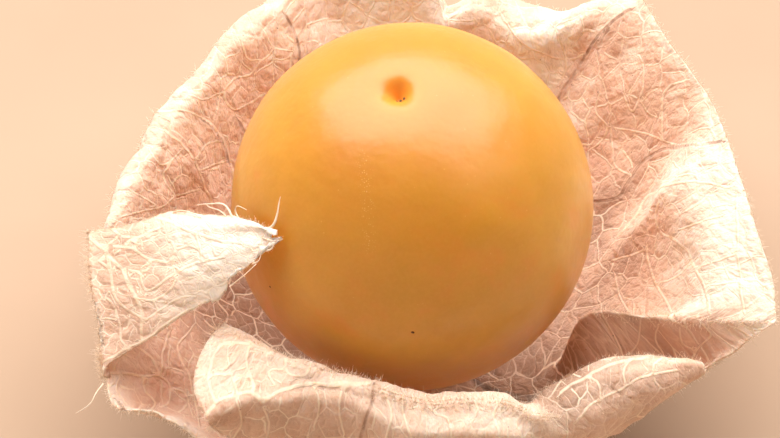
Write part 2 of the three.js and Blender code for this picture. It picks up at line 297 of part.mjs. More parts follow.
const model = new THREE.Group();
const huskMesh = piece('husk', geometryOf(husk), 0xe6c3a0, 0.85);
const berryMesh = piece('berry', berry, 0xd2953c, 0.35);
berryMesh.rotation.y = THREE.MathUtils.degToRad(-BERRY_TILT_DEG);
berryMesh.position.set(0, 0, BERRY_CENTRE_Z);
const stalkMesh = piece('stalk', geometryOf(stalk), 0xa98a58, 0.8);
model.add(huskMesh, berryMesh, stalkMesh);

// Origin: middle of the footprint box, on the table.
model.updateMatrixWorld(true);
const box = new THREE.Box3();
model.traverse((m) => { if (m.isMesh) box.expandByObject(m, true); });
model.position.set(-(box.min.x + box.max.x) / 2, -(box.min.y + box.max.y) / 2, 0);
model.updateMatrixWorld(true);

export default model;
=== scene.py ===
# Physalis berry in its torn, opened husk: the looks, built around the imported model.
import bpy, math
import numpy as np
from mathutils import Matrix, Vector


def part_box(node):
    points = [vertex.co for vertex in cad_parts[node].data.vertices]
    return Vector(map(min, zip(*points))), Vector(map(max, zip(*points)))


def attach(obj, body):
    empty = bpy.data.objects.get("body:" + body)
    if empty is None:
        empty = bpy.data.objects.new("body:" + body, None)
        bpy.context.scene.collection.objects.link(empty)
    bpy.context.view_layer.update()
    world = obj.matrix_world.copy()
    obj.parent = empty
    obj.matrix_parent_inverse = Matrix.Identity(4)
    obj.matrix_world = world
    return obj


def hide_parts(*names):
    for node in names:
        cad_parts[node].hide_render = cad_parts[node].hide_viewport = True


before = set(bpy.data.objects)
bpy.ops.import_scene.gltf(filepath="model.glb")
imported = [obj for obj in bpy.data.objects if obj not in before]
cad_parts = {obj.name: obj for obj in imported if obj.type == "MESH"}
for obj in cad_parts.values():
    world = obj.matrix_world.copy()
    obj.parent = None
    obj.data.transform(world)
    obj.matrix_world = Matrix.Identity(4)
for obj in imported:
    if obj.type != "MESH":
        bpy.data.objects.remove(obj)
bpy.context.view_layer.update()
MM = 0.001

lo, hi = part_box("berry")
# the berry's own axis leans a little, so its box is centred on it to a few microns
BC = Vector(((lo.x + hi.x) / 2 + 0.0, (lo.y + hi.y) / 2, 0.0))
BERRY_Z = 12.55            # mm, height of the berry's middle
_tilt = math.radians(4.5)
OFF = np.array([BC.x * 1000, BC.y * 1000, 0.0]) + np.array([0.0, 0.0, 0.0])

rng = np.random.default_rng(20261)

# ------------------------------------------------------------------ camera
EL = math.radians(49.2)
SE, CE = math.sin(EL), math.cos(EL)
AIM = np.array([-1.158, -0.478, BERRY_Z - 0.413])
CAM = AIM + 200.0 * np.array([0.0, -CE, SE])
cam_data = bpy.data.cameras.new("camera")
cam_data.sensor_width = 36.0
cam_data.lens = 36.0 * 3800.0 / 780.0
cam_data.clip_start = 0.005
cam_data.clip_end = 20.0
cam = bpy.data.objects.new("camera", cam_data)
bpy.context.scene.collection.objects.link(cam)
cam.location = Vector((CAM + OFF) * MM)
cam.rotation_euler = (math.pi / 2 - EL, 0.0, 0.0)
bpy.context.scene.camera = cam


def seen(p):
    """Drafting coordinates (x to the right, v upwards, in mm at the berry's middle) of points in mm."""
    d = p - CAM
    depth = d[..., 1] * CE - d[..., 2] * SE
    px = 390 + 3800 * d[..., 0] / depth
    py = 219 - 3800 * (d[..., 1] * SE + d[..., 2] * CE) / depth
    return np.stack([(px - 412) / 19.0, (207 - py) / 19.0], -1)


# ------------------------------------------------------------------ the husk's sheet: columns of points, mm
# crease flag, then x,y,z from the base outwards: four in the base, three up the wall, the rest along the margin
OPEN_WALL = [
  [0, 1.11,-0.67,1.95, 3.77,-2.27,0.14, 6.77,-4.07,1.01, 9.43,-5.67,3.2, 10.45,-6.06,3.79, 11.28,-6.45,4.45, 11.92,-6.75,4.85, 12.06,-6.81,4.94, 12.2,-6.87,5.02, 12.32,-6.93,5.1],
  [0, 1.18,-0.55,1.95, 3.99,-1.86,0.14, 7.02,-3.27,0.99, 9.83,-4.58,3.2, 11.5,-5.11,4.01, 12.9,-5.62,4.91, 13.97,-5.99,5.45, 14.12,-6.04,5.53, 14.27,-6.09,5.6, 14.4,-6.14,5.66],
  [1, 1.22,-0.46,1.95, 4.12,-1.54,0.14, 7.17,-2.68,0.99, 10.12,-3.78,3.1, 13.1,-4.33,4, 15.06,-5.1,4.9, 15.85,-5.58,6.35, 15.93,-5.63,6.5, 16.01,-5.68,6.65, 16.07,-5.72,6.77],
  [1, 1.26,-0.34,1.95, 4.25,-1.14,0.14, 7.4,-1.98,0.99, 9.44,-1.77,5.8, 12.7,-3.1,7.2, 15.7,-4.45,8.5, 18.51,-5.69,9.95, 18.66,-5.75,10.02, 18.8,-5.82,10.1, 18.92,-5.87,10.16],
  [0, 1.29,-0.14,1.95, 4.38,-0.46,0.14, 7.84,-0.82,1.01, 10.92,-1.15,3.2, 13.6,-2.31,6.25, 16.23,-3.18,9.44, 18.47,-4.07,10.45, 18.62,-4.13,10.52, 18.77,-4.19,10.59, 18.9,-4.24,10.64],
  [0, 1.3,0.07,1.95, 4.39,0.23,0.14, 7.93,0.42,1.01, 11.02,0.58,3.2, 13.79,-0.26,6.46, 16.01,-0.76,9.87, 17.98,-1.33,10.95, 18.13,-1.38,11.03, 18.28,-1.42,11.11, 18.4,-1.46,11.18],
  [0, 1.28,0.25,1.95, 4.32,0.84,0.14, 7.6,1.48,0.99, 10.65,2.07,3.2, 13.38,1.92,6.62, 15.37,1.9,10.21, 17.24,1.82,11.35, 17.39,1.81,11.44, 17.54,1.8,11.53, 17.67,1.8,11.61],
  [1, 1.24,0.4,1.95, 4.18,1.36,0.14, 7.27,2.36,0.98, 10.21,3.32,3.2, 12.38,3.72,6.75, 14.52,4.22,10.47, 16.64,4.69,11.65, 16.79,4.72,11.73, 16.94,4.75,11.82, 17.07,4.78,11.89],
  [0, 1.17,0.57,1.95, 3.95,1.93,0.14, 6.99,3.41,1, 9.77,4.77,3.2, 12.42,5.77,6.31, 14.4,6.55,9.77, 15.9,7.12,11.85, 16.04,7.17,12, 16.17,7.22,12.16, 16.29,7.27,12.29],
  [0, 1.08,0.73,1.95, 3.65,2.46,0.14, 6.59,4.45,1.02, 9.16,6.18,3.2, 11.76,7.52,6.39, 13.55,8.48,9.93, 14.97,9.21,12.05, 15.1,9.28,12.2, 15.22,9.34,12.36, 15.33,9.4,12.49],
  [0, 0.97,0.86,1.95, 3.3,2.92,0.14, 5.91,5.23,1.01, 8.23,7.28,3.2, 10.54,9.17,6.49, 12.28,10.61,10.15, 13.61,11.69,12.35, 13.72,11.78,12.5, 13.83,11.87,12.66, 13.92,11.95,12.79],
  [1, 0.85,0.98,1.95, 2.89,3.32,0.14, 5.05,5.81,0.99, 7.08,8.15,3.2, 8.85,10.33,6.64, 10.65,12.5,10.46, 12.17,14.34,12.75, 12.32,14.52,12.89, 12.47,14.71,13.04, 12.61,14.87,13.16],
  [0, 0.74,1.07,1.95, 2.49,3.63,0.14, 4.33,6.3,0.98, 6.09,8.86,3.2, 7.9,11.27,6.21, 9.37,13.27,9.39, 10.45,14.71,12.05, 10.88,15.32,12.27, 11.57,16.29,11.54, 11.86,16.7,11.03],
  [0, 0.64,1.13,1.95, 2.17,3.83,0.15, 3.81,6.73,1, 5.33,9.43,3.2, 6.97,11.64,6.04, 8.16,13.32,9.05, 9.08,14.58,11.55, 9.6,15.41,11.81, 10.41,16.71,10.9, 10.75,17.25,10.34],
  [0, 0.54,1.18,1.95, 1.82,4,0.65, 3.26,7.16,1.32, 4.55,9.98,3.3, 5.93,11.72,6, 6.85,13,8.86, 7.58,13.95,11.25, 8.08,14.87,11.5, 8.84,16.27,10.49, 9.15,16.85,9.82],
  [0, 0.42,1.23,1.95, 1.43,4.16,1.56, 2.59,7.52,1.9, 3.6,10.46,3.47, 4.48,12.04,6.15, 5.09,13.25,8.99, 5.59,14.23,11.35, 5.97,15.21,11.6, 6.56,16.7,10.53, 6.8,17.3,9.81],
  [0, 0.29,1.27,1.95, 0.99,4.29,1.99, 1.78,7.7,2.16, 2.48,10.72,3.55, 3.12,12.41,6.37, 3.62,13.94,9.36, 4.05,15.21,11.85, 4.29,16.1,12.03, 4.64,17.43,11.08, 4.78,17.94,10.31],
  [1, 0.16,1.29,1.95, 0.54,4.37,1.99, 0.94,7.69,2.14, 1.32,10.76,3.55, 1.5,11.75,6.44, 1.68,12.92,9.5, 1.91,14.48,12.05, 1.97,14.97,12.09, 2.06,15.65,11.44, 2.09,15.86,10.67],
  [0, 0.03,1.3,1.95, 0.12,4.4,1.99, 0.2,7.64,2.13, 0.28,10.74,3.55, 0.59,13.38,6.61, 0.79,15.46,9.85, 0.95,16.84,12.55, 0.99,17.47,12.52, 1.03,18.25,11.6, 1.04,18.41,10.37],
  [0, -0.14,1.29,1.95, -0.46,4.38,1.99, -0.81,7.68,2.14, -1.13,10.76,3.55, -1.31,13.83,6.64, -1.46,16.08,9.92, -1.55,17.68,12.65, -1.6,18.23,12.55, -1.65,18.82,11.31, -1.65,18.87,9.45],
  [0, -0.31,1.26,1.95, -1.06,4.27,1.99, -1.92,7.69,2.16, -2.67,10.7,3.55, -3.33,13.85,6.61, -3.84,16.26,9.85, -4.22,18.09,12.55, -4.35,18.63,12.45, -4.49,19.21,11.12, -4.5,19.26,9.15],
  [1, -0.47,1.21,1.95, -1.58,4.11,1.24, -2.84,7.41,1.7, -3.96,10.31,3.41, -4.74,12.56,7.02, -5.46,14.55,10.82, -6.21,16.63,12.45, -6.36,17.02,12.43, -6.51,17.43,12.17, -6.61,17.7,11.6],
  [0, -0.61,1.15,1.95, -2.07,3.88,0.22, -3.65,6.86,1.05, -5.1,9.6,3.22, -6.27,11.7,6.87, -7.1,13.22,10.71, -7.89,14.65,12.35, -8.09,15.02,12.33, -8.29,15.4,12.07, -8.43,15.65,11.5],
  [0, -0.78,1.04,1.95, -2.65,3.51,0.14, -4.6,6.1,0.98, -6.46,8.58,3.2, -7.86,10.43,6.82, -8.71,11.56,10.62, -9.5,12.61,12.25, -9.75,12.95,12.23, -10.01,13.29,11.97, -10.18,13.52,11.4],
  [0, -0.94,0.89,1.95, -3.19,3.03,0.14, -5.69,5.4,1, -7.94,7.53,3.2, -9.29,8.88,6.78, -10.09,9.67,10.54, -10.8,10.38,12.15, -11.11,10.67,12.13, -11.42,10.97,11.87, -11.63,11.17,11.3],
  [0, -1.06,0.75,1.95, -3.6,2.52,0.14, -6.52,4.56,1.02, -9.06,6.34,3.2, -10.28,7.36,6.74, -11.08,8,10.46, -11.95,8.69,12.05, -12.29,8.94,12.03, -12.64,9.19,11.77, -12.87,9.37,11.2],
  [1, -1.15,0.6,1.95, -3.9,2.03,0.14, -6.93,3.61,1, -9.68,5.04,3.2, -10.77,5.81,6.7, -11.89,6.5,10.38, -13.09,7.24,11.95, -13.46,7.45,11.93, -13.83,7.66,11.67, -14.09,7.8,11.1],
  [0, -1.22,0.46,1.95, -4.12,1.54,0.14, -7.17,2.68,0.99, -10.07,3.77,3.2, -11.67,4.54,6.66, -12.65,4.99,10.29, -13.62,5.45,11.85, -14.01,5.6,11.83, -14.41,5.76,11.57, -14.68,5.87,11],
  [0, -1.26,0.3,1.95, -4.28,1.03,0.14, -7.47,1.79,0.99, -10.49,2.52,3.2, -12.37,3.03,6.62, -13.46,3.32,10.21, -14.46,3.6,11.75, -14.82,3.69,11.73, -15.2,3.78,11.47, -15.45,3.84,10.9],
  [0, -1.29,0.14,1.95, -4.38,0.46,0.14, -7.84,0.82,1.01, -10.92,1.15,3.2, -12.93,1.29,6.58, -14.18,1.39,10.13, -15.43,1.48,11.65, -15.68,1.51,11.63, -15.94,1.53,11.37, -16.11,1.55,10.8],
  [1, -1.3,-0.03,1.95, -4.4,-0.12,0.14, -7.95,-0.21,1.02, -11.05,-0.29,3.2, -13.13,-0.49,5.99, -14.89,-0.63,8.94, -16.24,-0.75,11.4, -16.26,-0.75,11.44, -16.28,-0.75,11.47, -16.3,-0.75,11.51],
  [0, -1.29,-0.18,1.95, -4.36,-0.61,0.14, -7.75,-1.09,1, -10.82,-1.52,3.2, -13.22,-1.9,5.87, -15,-2.17,8.7, -16.34,-2.38,11.05, -16.35,-2.39,11.08, -16.37,-2.39,11.11, -16.39,-2.39,11.14],
  [0, -1.26,-0.33,1.95, -4.26,-1.1,0.14, -7.42,-1.92,0.99, -10.43,-2.7,3.2, -12.98,-3.26,5.7, -14.8,-3.67,8.35, -16.08,-3.95,10.55, -16.1,-3.95,10.58, -16.11,-3.96,10.61, -16.13,-3.96,10.64],
  [0, -1.22,-0.46,1.95, -4.12,-1.54,0.14, -7.17,-2.68,0.99, -10.07,-3.77,3.2, -12.56,-4.67,5.43, -14.42,-5.35,7.79, -15.82,-5.86,9.75, -15.84,-5.87,9.78, -15.86,-5.88,9.81, -15.88,-5.88,9.83],
  [1, -1.16,-0.58,1.95, -3.94,-1.96,0.14, -6.97,-3.47,1, -9.74,-4.86,3.2, -12.14,-6.07,5.04, -14.18,-7.09,6.98, -15.74,-7.88,8.6, -15.77,-7.9,8.64, -15.8,-7.91,8.67, -15.83,-7.93,8.7],
  [0, -1.11,-0.68,1.95, -3.75,-2.3,0.14, -6.75,-4.13,1.01, -9.39,-5.75,3.2, -11.74,-7.39,4.82, -13.67,-8.71,6.53, -15.06,-9.68,7.95, -15.14,-9.73,8.03, -15.22,-9.79,8.11, -15.28,-9.83,8.18],
  [0, -1.04,-0.78,1.95, -3.51,-2.65,0.14, -6.36,-4.79,1.02, -8.83,-6.65,3.2, -10.8,-7.94,4.68, -12.38,-9.01,6.25, -13.52,-9.76,7.55, -13.6,-9.81,7.63, -13.67,-9.86,7.72, -13.73,-9.9,7.79],
  [0, -0.97,-0.87,1.95, -3.27,-2.94,0.14, -5.86,-5.27,1.01, -8.16,-7.35,3.2, -9.69,-8.58,4.58, -10.97,-9.64,6.04, -11.95,-10.45,7.25, -12.02,-10.51,7.33, -12.09,-10.56,7.42, -12.15,-10.61,7.49],
  [0, -0.88,-0.96,1.95, -2.97,-3.24,0.14, -5.22,-5.7,0.99, -7.32,-7.99,3.2, -8.62,-9.18,4.48, -9.75,-10.29,5.83, -10.69,-11.2,6.95, -10.76,-11.26,7.03, -10.83,-11.33,7.11, -10.88,-11.38,7.18],
  [0, -0.76,-1.05,1.95, -2.59,-3.56,0.14, -4.49,-6.18,0.98, -6.31,-8.69,3.2, -7.3,-9.29,4.37, -8.11,-10,5.62, -9.05,-10.9,6.65, -9.12,-10.97,6.73, -9.19,-11.04,6.8, -9.25,-11.09,6.87],
]
FRONT_WALL = [
  [0, -0.98,-0.85,1.95, -3.32,-2.89,0.14, -5.96,-5.18,1.01, -8.19,-7.12,3.3, -9.37,-9.91,5.94, -10.23,-11.74,8.73, -10.49,-12.81,11.05, -11.14,-11.26,11.3, -10.98,-9.68,11.6, -10.35,-8.34,11.9, -9.65,-7.56,12],
  [0, -0.88,-0.96,1.95, -2.97,-3.24,0.14, -5.22,-5.7,0.99, -7.22,-7.88,3.3, -8.62,-10.55,6.02, -9.39,-12.05,8.9, -9.33,-12.42,11.3, -9.71,-11.16,11.5, -9.54,-9.8,11.75, -9.05,-8.66,12.05, -8.55,-8.22,12],
  [0, -0.76,-1.05,1.95, -2.59,-3.56,0.14, -4.49,-6.18,0.98, -6.22,-8.57,3.3, -7.69,-10.94,6.05, -8.38,-12.09,8.97, -8.22,-11.99,11.4, -8.29,-11.05,11.6, -8.15,-9.97,11.8, -7.86,-9.25,12.05, -7.41,-9.09,11.85],
  [0, -0.63,-1.14,1.95, -2.13,-3.85,0.14, -3.75,-6.77,0.99, -5.19,-9.35,3.3, -6.4,-11.49,6.04, -6.83,-12.24,8.93, -6.75,-12.08,11.35, -6.81,-11.31,11.6, -6.66,-10.56,11.8, -6.41,-9.97,12.05, -6.06,-9.8,11.75],
  [0, -0.5,-1.2,1.95, -1.68,-4.07,0.14, -3.03,-7.31,1.01, -4.16,-10.04,3.3, -5.09,-11.88,6.04, -5.28,-12.17,8.93, -5.13,-11.69,11.35, -5.18,-11.27,11.55, -5.13,-10.91,11.75, -5.03,-10.61,11.95, -4.77,-10.07,11.8],
  [0, -0.36,-1.25,1.95, -1.21,-4.23,0.14, -2.19,-7.64,1.02, -3,-10.48,3.3, -3.57,-12.39,6.02, -3.61,-12.5,8.9, -3.45,-11.91,11.3, -3.5,-11.55,11.5, -3.5,-11.29,11.75, -3.32,-10.72,11.65, -3.22,-10.39,10.75],
  [1, -0.23,-1.28,1.95, -0.76,-4.33,0.14, -1.36,-7.71,1, -1.87,-10.61,3.3, -2.17,-12.49,5.99, -2.21,-12.78,8.83, -2.17,-12.6,11.2, -2.12,-12.03,11.45, -2.07,-11.73,11.65, -1.94,-10.99,11.5, -1.86,-10.55,10.15],
  [0, -0.07,-1.3,1.95, -0.23,-4.39,0.14, -0.4,-7.65,0.99, -0.56,-10.6,3.3, -0.7,-13.38,5.95, -0.72,-13.88,8.76, -0.7,-13.55,11.1, -0.7,-12.8,11.45, -0.65,-12.25,11.65, -0.61,-11.5,11.5, -0.59,-11.05,10.15],
  [0, 0.09,-1.3,1.95, 0.31,-4.39,0.14, 0.54,-7.66,0.99, 0.74,-10.6,3.3, 0.83,-13.63,5.95, 0.81,-14.17,8.76, 0.76,-13.93,11.1, 0.77,-13.08,11.4, 0.77,-12.55,11.63, 0.72,-11.82,11.5, 0.69,-11.37,10.15],
  [0, 0.24,-1.28,1.95, 0.8,-4.33,0.14, 1.43,-7.71,1, 1.97,-10.61,3.3, 2.17,-13.52,5.94, 2.11,-14.03,8.73, 1.98,-13.89,11.05, 1.98,-13.1,11.35, 1.98,-12.49,11.55, 1.87,-11.75,11.4, 1.8,-11.31,10.05],
  [0, 0.37,-1.25,1.95, 1.25,-4.22,0.14, 2.26,-7.63,1.02, 3.1,-10.46,3.3, 3.59,-13.5,5.94, 3.54,-13.98,8.73, 3.39,-13.89,11.05, 3.35,-12.98,11.35, 3.3,-12.43,11.55, 3.11,-11.7,11.4, 2.99,-11.27,10.05],
  [0, 0.49,-1.21,1.95, 1.65,-4.08,0.14, 2.97,-7.35,1.01, 4.07,-10.08,3.3, 4.83,-13.01,5.85, 4.91,-13.71,8.55, 4.81,-13.83,10.8, 4.77,-12.91,11.1, 4.73,-12.4,11.35, 4.46,-11.7,11.2, 4.3,-11.28,9.85],
  [0, 0.6,-1.15,1.95, 2.03,-3.9,0.14, 3.6,-6.91,1, 4.96,-9.52,3.3, 6.11,-12.06,5.49, 6.43,-12.84,7.81, 6.53,-13.15,9.75, 6.46,-12.98,10.45, 6.36,-12.72,10.85, 6,-12,10.75, 5.69,-11.38,9.95],
  [1, 0.71,-1.09,1.95, 2.4,-3.69,0.14, 4.17,-6.43,0.99, 5.78,-8.9,3.3, 7.11,-11.04,5.29, 7.67,-11.95,7.39, 8.05,-12.56,9.15, 7.78,-12.43,9.65, 7.41,-12.25,10.25, 7.02,-11.49,10.35, 6.63,-10.63,10.25],
  [0, 0.81,-1.02,1.95, 2.74,-3.44,0.14, 4.77,-5.99,0.99, 6.6,-8.3,3.3, 8.36,-10.41,5.22, 9.13,-11.31,7.26, 9.42,-11.63,8.95, 9.19,-11.66,9.65, 8.82,-11.28,10.25, 8.47,-10.54,10.55, 8.19,-9.68,10.45],
  [0, 0.9,-0.94,1.95, 3.06,-3.17,0.14, 5.4,-5.59,1, 7.45,-7.71,3.3, 9.59,-9.64,5.15, 10.5,-10.43,7.12, 10.8,-10.63,8.75, 10.62,-10.66,9.45, 10.3,-10.28,10.05, 10,-9.61,10.45, 9.72,-8.68,10.35],
  [0, 0.99,-0.84,1.95, 3.35,-2.86,0.14, 6.02,-5.14,1.01, 8.26,-7.06,3.3, 10.7,-8.64,5.05, 11.89,-9.39,6.91, 12.31,-9.55,8.45, 12.18,-9.56,9.05, 11.9,-9.31,9.65, 11.6,-8.76,9.95, 11.32,-8.09,9.95],
  [0, 1.06,-0.75,1.95, 3.58,-2.56,0.14, 6.48,-4.62,1.02, 8.88,-6.34,3.3, 11.51,-7.56,4.95, 12.95,-8.22,6.7, 13.68,-8.45,8.15, 13.55,-8.45,8.65, 13.33,-8.24,9.05, 13.06,-7.95,9.35, 12.82,-7.55,9.35],
  [0, 1.11,-0.67,1.95, 3.77,-2.27,0.14, 6.77,-4.07,1.01, 9.3,-5.59,3.3, 11.9,-6.6,4.88, 13.59,-7.28,6.56, 14.62,-7.63,7.95, 14.55,-7.67,8.25, 14.42,-7.64,8.55, 14.26,-7.53,8.75, 14.12,-7.33,8.75],
  [0, 1.15,-0.6,1.95, 3.9,-2.03,0.14, 6.93,-3.61,1, 9.55,-4.97,3.3, 12.03,-5.83,4.81, 13.94,-6.56,6.42, 15.24,-7,7.75, 15.2,-7.05,7.85, 15.17,-7.09,7.95, 15.11,-7.11,8.05, 15.01,-7.06,8.05],
]
LEFT_FLAP = [
  [0, -16.82,-0.89,11.18, -16.74,-1.6,11.06, -16.55,-3.07,10.73, -16.27,-4.91,10.11, -15.99,-6.7,9.29, -15.75,-8.19,8.43],
  [0, -17.12,-0.9,11.5, -17.04,-1.63,11.38, -16.84,-3.12,11.05, -16.56,-5,10.43, -16.27,-6.82,9.61, -16.02,-8.33,8.75],
  [0, -16.64,-0.98,11.85, -16.54,-1.87,11.56, -16.36,-3.56,10.99, -16.16,-5.32,10.32, -16,-6.81,9.67, -15.86,-8.01,9.12],
  [0, -15.52,-1.41,12.52, -15.45,-2.33,12.37, -15.34,-3.92,11.89, -15.22,-5.53,11.25, -15.14,-6.8,10.51, -15.08,-7.78,9.84],
  [0, -13.98,-1.79,13.6, -13.88,-2.85,13.71, -13.75,-4.28,13.24, -13.62,-5.79,12.68, -13.53,-6.88,11.91, -13.47,-7.68,11.16],
  [0, -12.57,-2.14,14.54, -12.42,-3.17,14.78, -12.2,-4.47,14.47, -11.96,-5.82,14.09, -11.77,-6.74,13.43, -11.63,-7.38,12.75],
  [0, -10.92,-2.98,15.44, -10.77,-3.85,15.72, -10.55,-4.87,15.49, -10.31,-5.96,15.23, -10.11,-6.67,14.72, -9.96,-7.16,14.19],
  [0, -8.84,-4.14,16.55, -8.79,-4.76,16.77, -8.73,-5.32,16.46, -8.65,-6.01,16.23, -8.59,-6.48,15.86, -8.55,-6.8,15.48],
  [0, -7.66,-5.05,17.08, -7.65,-5.45,17.26, -7.64,-5.64,16.93, -7.63,-6.02,16.77, -7.62,-6.3,16.57, -7.62,-6.51,16.37],
  [0, -7.09,-5.7,17.25, -7.06,-5.94,17.44, -7.02,-5.85,17.15, -6.97,-5.99,17.13, -6.92,-6.12,17.11, -6.88,-6.23,17.09],
]

# Veins drawn one by one: half width in mm, tone (1 = pale, -1 = dark line: the ribs' own brown and painted shade in
# creases), then x,v in drafting coordinates
VEINS_OPEN = [
  (0.10, -1, [11.47, 10.37, 10.68, 9.74, 9.89, 8.95, 9.11, 7.89, 8.42, 6.84, 7.79, 5.79, 7.37, 4.58]),
  (0.07, 1, [14.47, 6.68, 13.68, 6.42, 13.32, 6.05, 13.16, 5.26, 13.16, 3.53]),
  (0.10, -1, [16.21, 3.42, 15.42, 3.26, 14.47, 3.16, 13.16, 3.00, 12.26, 2.47, 11.58, 1.58, 10.95, 0.53, 9.63, 0.26]),
  (0.07, 1, [10.26, 4.21, 11.21, 4.05, 12.53, 3.74, 14.11, 3.26, 15.42, 3.37]),
  (0.07, 1, [10.42, 4.05, 10.53, 3.00, 10.68, 2.21, 11.58, 1.68]),
  (0.08, 1, [16.58, 1.05, 15.16, 1.32, 13.84, 1.21, 12.79, 0.89, 12.11, 0.37, 11.58, -0.68, 10.79, -1.58]),
  (0.08, 1, [12.37, -2.00, 12.63, -3.58, 13.16, -4.63, 13.58, -5.42]),
  (0.09, 1, [13.68, -1.58, 14.37, -2.26, 14.74, -3.16, 15.42, -4.37, 15.68, -5.53]),
  (0.07, 1, [13.05, 0.26, 12.89, -0.68, 13.16, -1.32, 13.68, -1.58]),
  (0.07, 1, [15.68, 0.79, 15.00, 0.11, 14.37, -0.26]),
  (0.07, 1, [10.53, -2.89, 11.47, -2.53, 12.37, -2.16]),
  (0.07, 1, [10.68, -3.58, 11.05, -4.89, 11.32, -5.47]),
  (0.07, 1, [17.00, 0.79, 17.11, -0.95, 17.21, -3.58, 17.42, -5.53]),
  (0.06, 1, [14.11, -1.21, 15.16, -0.79, 16.32, -0.42]),
  (0.06, 1, [14.84, -3.21, 15.79, -2.89, 17.00, -2.53]),
  (0.06, 1, [15.32, -4.26, 16.32, -4.00, 17.16, -3.84]),
  (0.06, 1, [12.84, -4.00, 13.68, -3.84, 14.63, -2.89]),
  (0.06, 1, [9.37, 3.00, 10.05, 3.53, 10.26, 4.21, 9.68, 5.00, 9.89, 5.89]),
  (0.06, 1, [4.89, 9.84, 5.68, 8.79, 6.74, 8.16, 8.32, 7.74, 9.37, 8.16]),
  (0.06, 1, [7.79, 8.79, 8.11, 7.63, 7.79, 6.42]),
  (0.06, 1, [12.00, 5.63, 12.53, 4.84, 13.16, 4.68]),
  (0.06, 1, [11.21, 5.89, 11.58, 5.00, 12.00, 5.63, 12.26, 6.68, 12.00, 8.00]),
  (0.06, 1, [14.11, -6.37, 14.26, -7.11, 14.95, -7.63, 14.63, -8.16]),
  (0.06, 1, [15.16, -6.05, 15.79, -6.74, 15.16, -7.26, 14.89, -7.84]),
  (0.06, 1, [15.95, -6.05, 17.00, -6.37, 17.89, -6.79]),
  (0.06, 1, [12.00, -6.05, 11.79, -7.26, 11.05, -8.32]),
  (0.06, 1, [13.05, -6.05, 12.79, -7.00, 13.16, -7.79]),
  (0.12, -1, [10.11, 8.79, 9.89, 8.26]),
  (0.10, -1, [10.53, 9.32, 10.21, 9.00]),
  (0.11, -1, [-9.16, 4.47, -8.89, 4.00]),
  (0.08, -1, [-8.68, 3.89, -8.53, 3.53]),
  (0.13, -1, [-15.42, -10.26, -15.16, -10.58]),
  (0.08, -1, [-13.26, 4.68, -12.95, 4.53]),
  (0.08, 1, [-13.68, 5.11, -12.37, 5.11, -11.16, 4.74, -10.37, 4.21, -10.00, 3.53, -9.47, 2.21, -9.26, 1.16]),
  (0.08, -1, [-11.16, 4.68, -10.42, 4.11, -10.05, 3.47, -9.58, 2.21]),
  (0.07, 1, [-13.00, 4.05, -11.95, 3.16, -11.37, 2.47, -11.16, 1.84, -10.63, 0.53, -10.42, -0.26]),
  (0.07, 1, [-11.37, 2.47, -10.89, 3.16, -10.00, 3.53]),
  (0.07, 1, [-11.16, 1.84, -10.37, 2.21, -9.47, 2.47]),
  (0.08, -1, [-6.68, 10.11, -6.32, 9.58, -5.95, 8.53, -5.89, 7.74]),
  (0.07, 1, [-8.53, 6.95, -9.32, 6.68, -9.84, 6.05, -9.32, 5.11, -8.53, 5.37, -7.89, 5.84]),
  (0.06, 1, [-7.89, 7.74, -8.53, 6.95]),
  (0.06, 1, [-9.84, 6.05, -10.89, 5.63, -11.68, 5.89]),
  (0.07, 1, [-15.26, -0.53, -14.21, -0.26, -13.26, 0.00, -12.37, 0.53, -11.16, 0.89]),
  (0.06, 1, [-14.84, 0.89, -13.79, 0.37, -13.26, 0.00]),
  (0.06, 1, [-12.63, 2.47, -13.00, 1.53, -12.37, 0.53]),
  (0.06, 1, [-13.79, 3.00, -13.00, 2.21, -12.63, 2.47, -11.95, 3.16]),
  (0.06, 1, [-7.89, 9.32, -7.21, 8.37, -6.32, 8.16]),
  (0.06, 1, [-9.05, 8.53, -8.53, 7.74, -7.89, 7.74, -7.21, 8.37]),
  (0.08, 1, [-16.11, -8.68, -15.26, -8.68, -14.05, -8.84, -13.26, -8.84, -13.05, -7.53, -12.74, -6.58]),
  (0.07, 1, [-14.05, -8.84, -13.89, -9.74, -13.37, -10.26, -13.79, -10.68]),
  (0.07, 1, [-13.26, -8.84, -12.63, -9.37, -12.74, -10.26, -13.11, -10.42]),
  (0.07, 1, [-14.32, -7.42, -13.68, -7.95, -13.26, -8.84]),
  (0.07, 1, [-11.68, -6.47, -12.32, -7.26, -11.68, -8.84, -11.42, -10.16, -11.16, -11.47]),
  (0.07, 1, [-15.26, -8.68, -15.47, -9.53, -14.95, -10.26]),
  (0.06, 1, [-12.63, -9.37, -11.89, -9.74, -11.58, -10.95]),
  (0.06, 1, [-10.37, -4.89, -9.68, -5.84, -10.37, -6.47, -10.89, -6.05]),
]
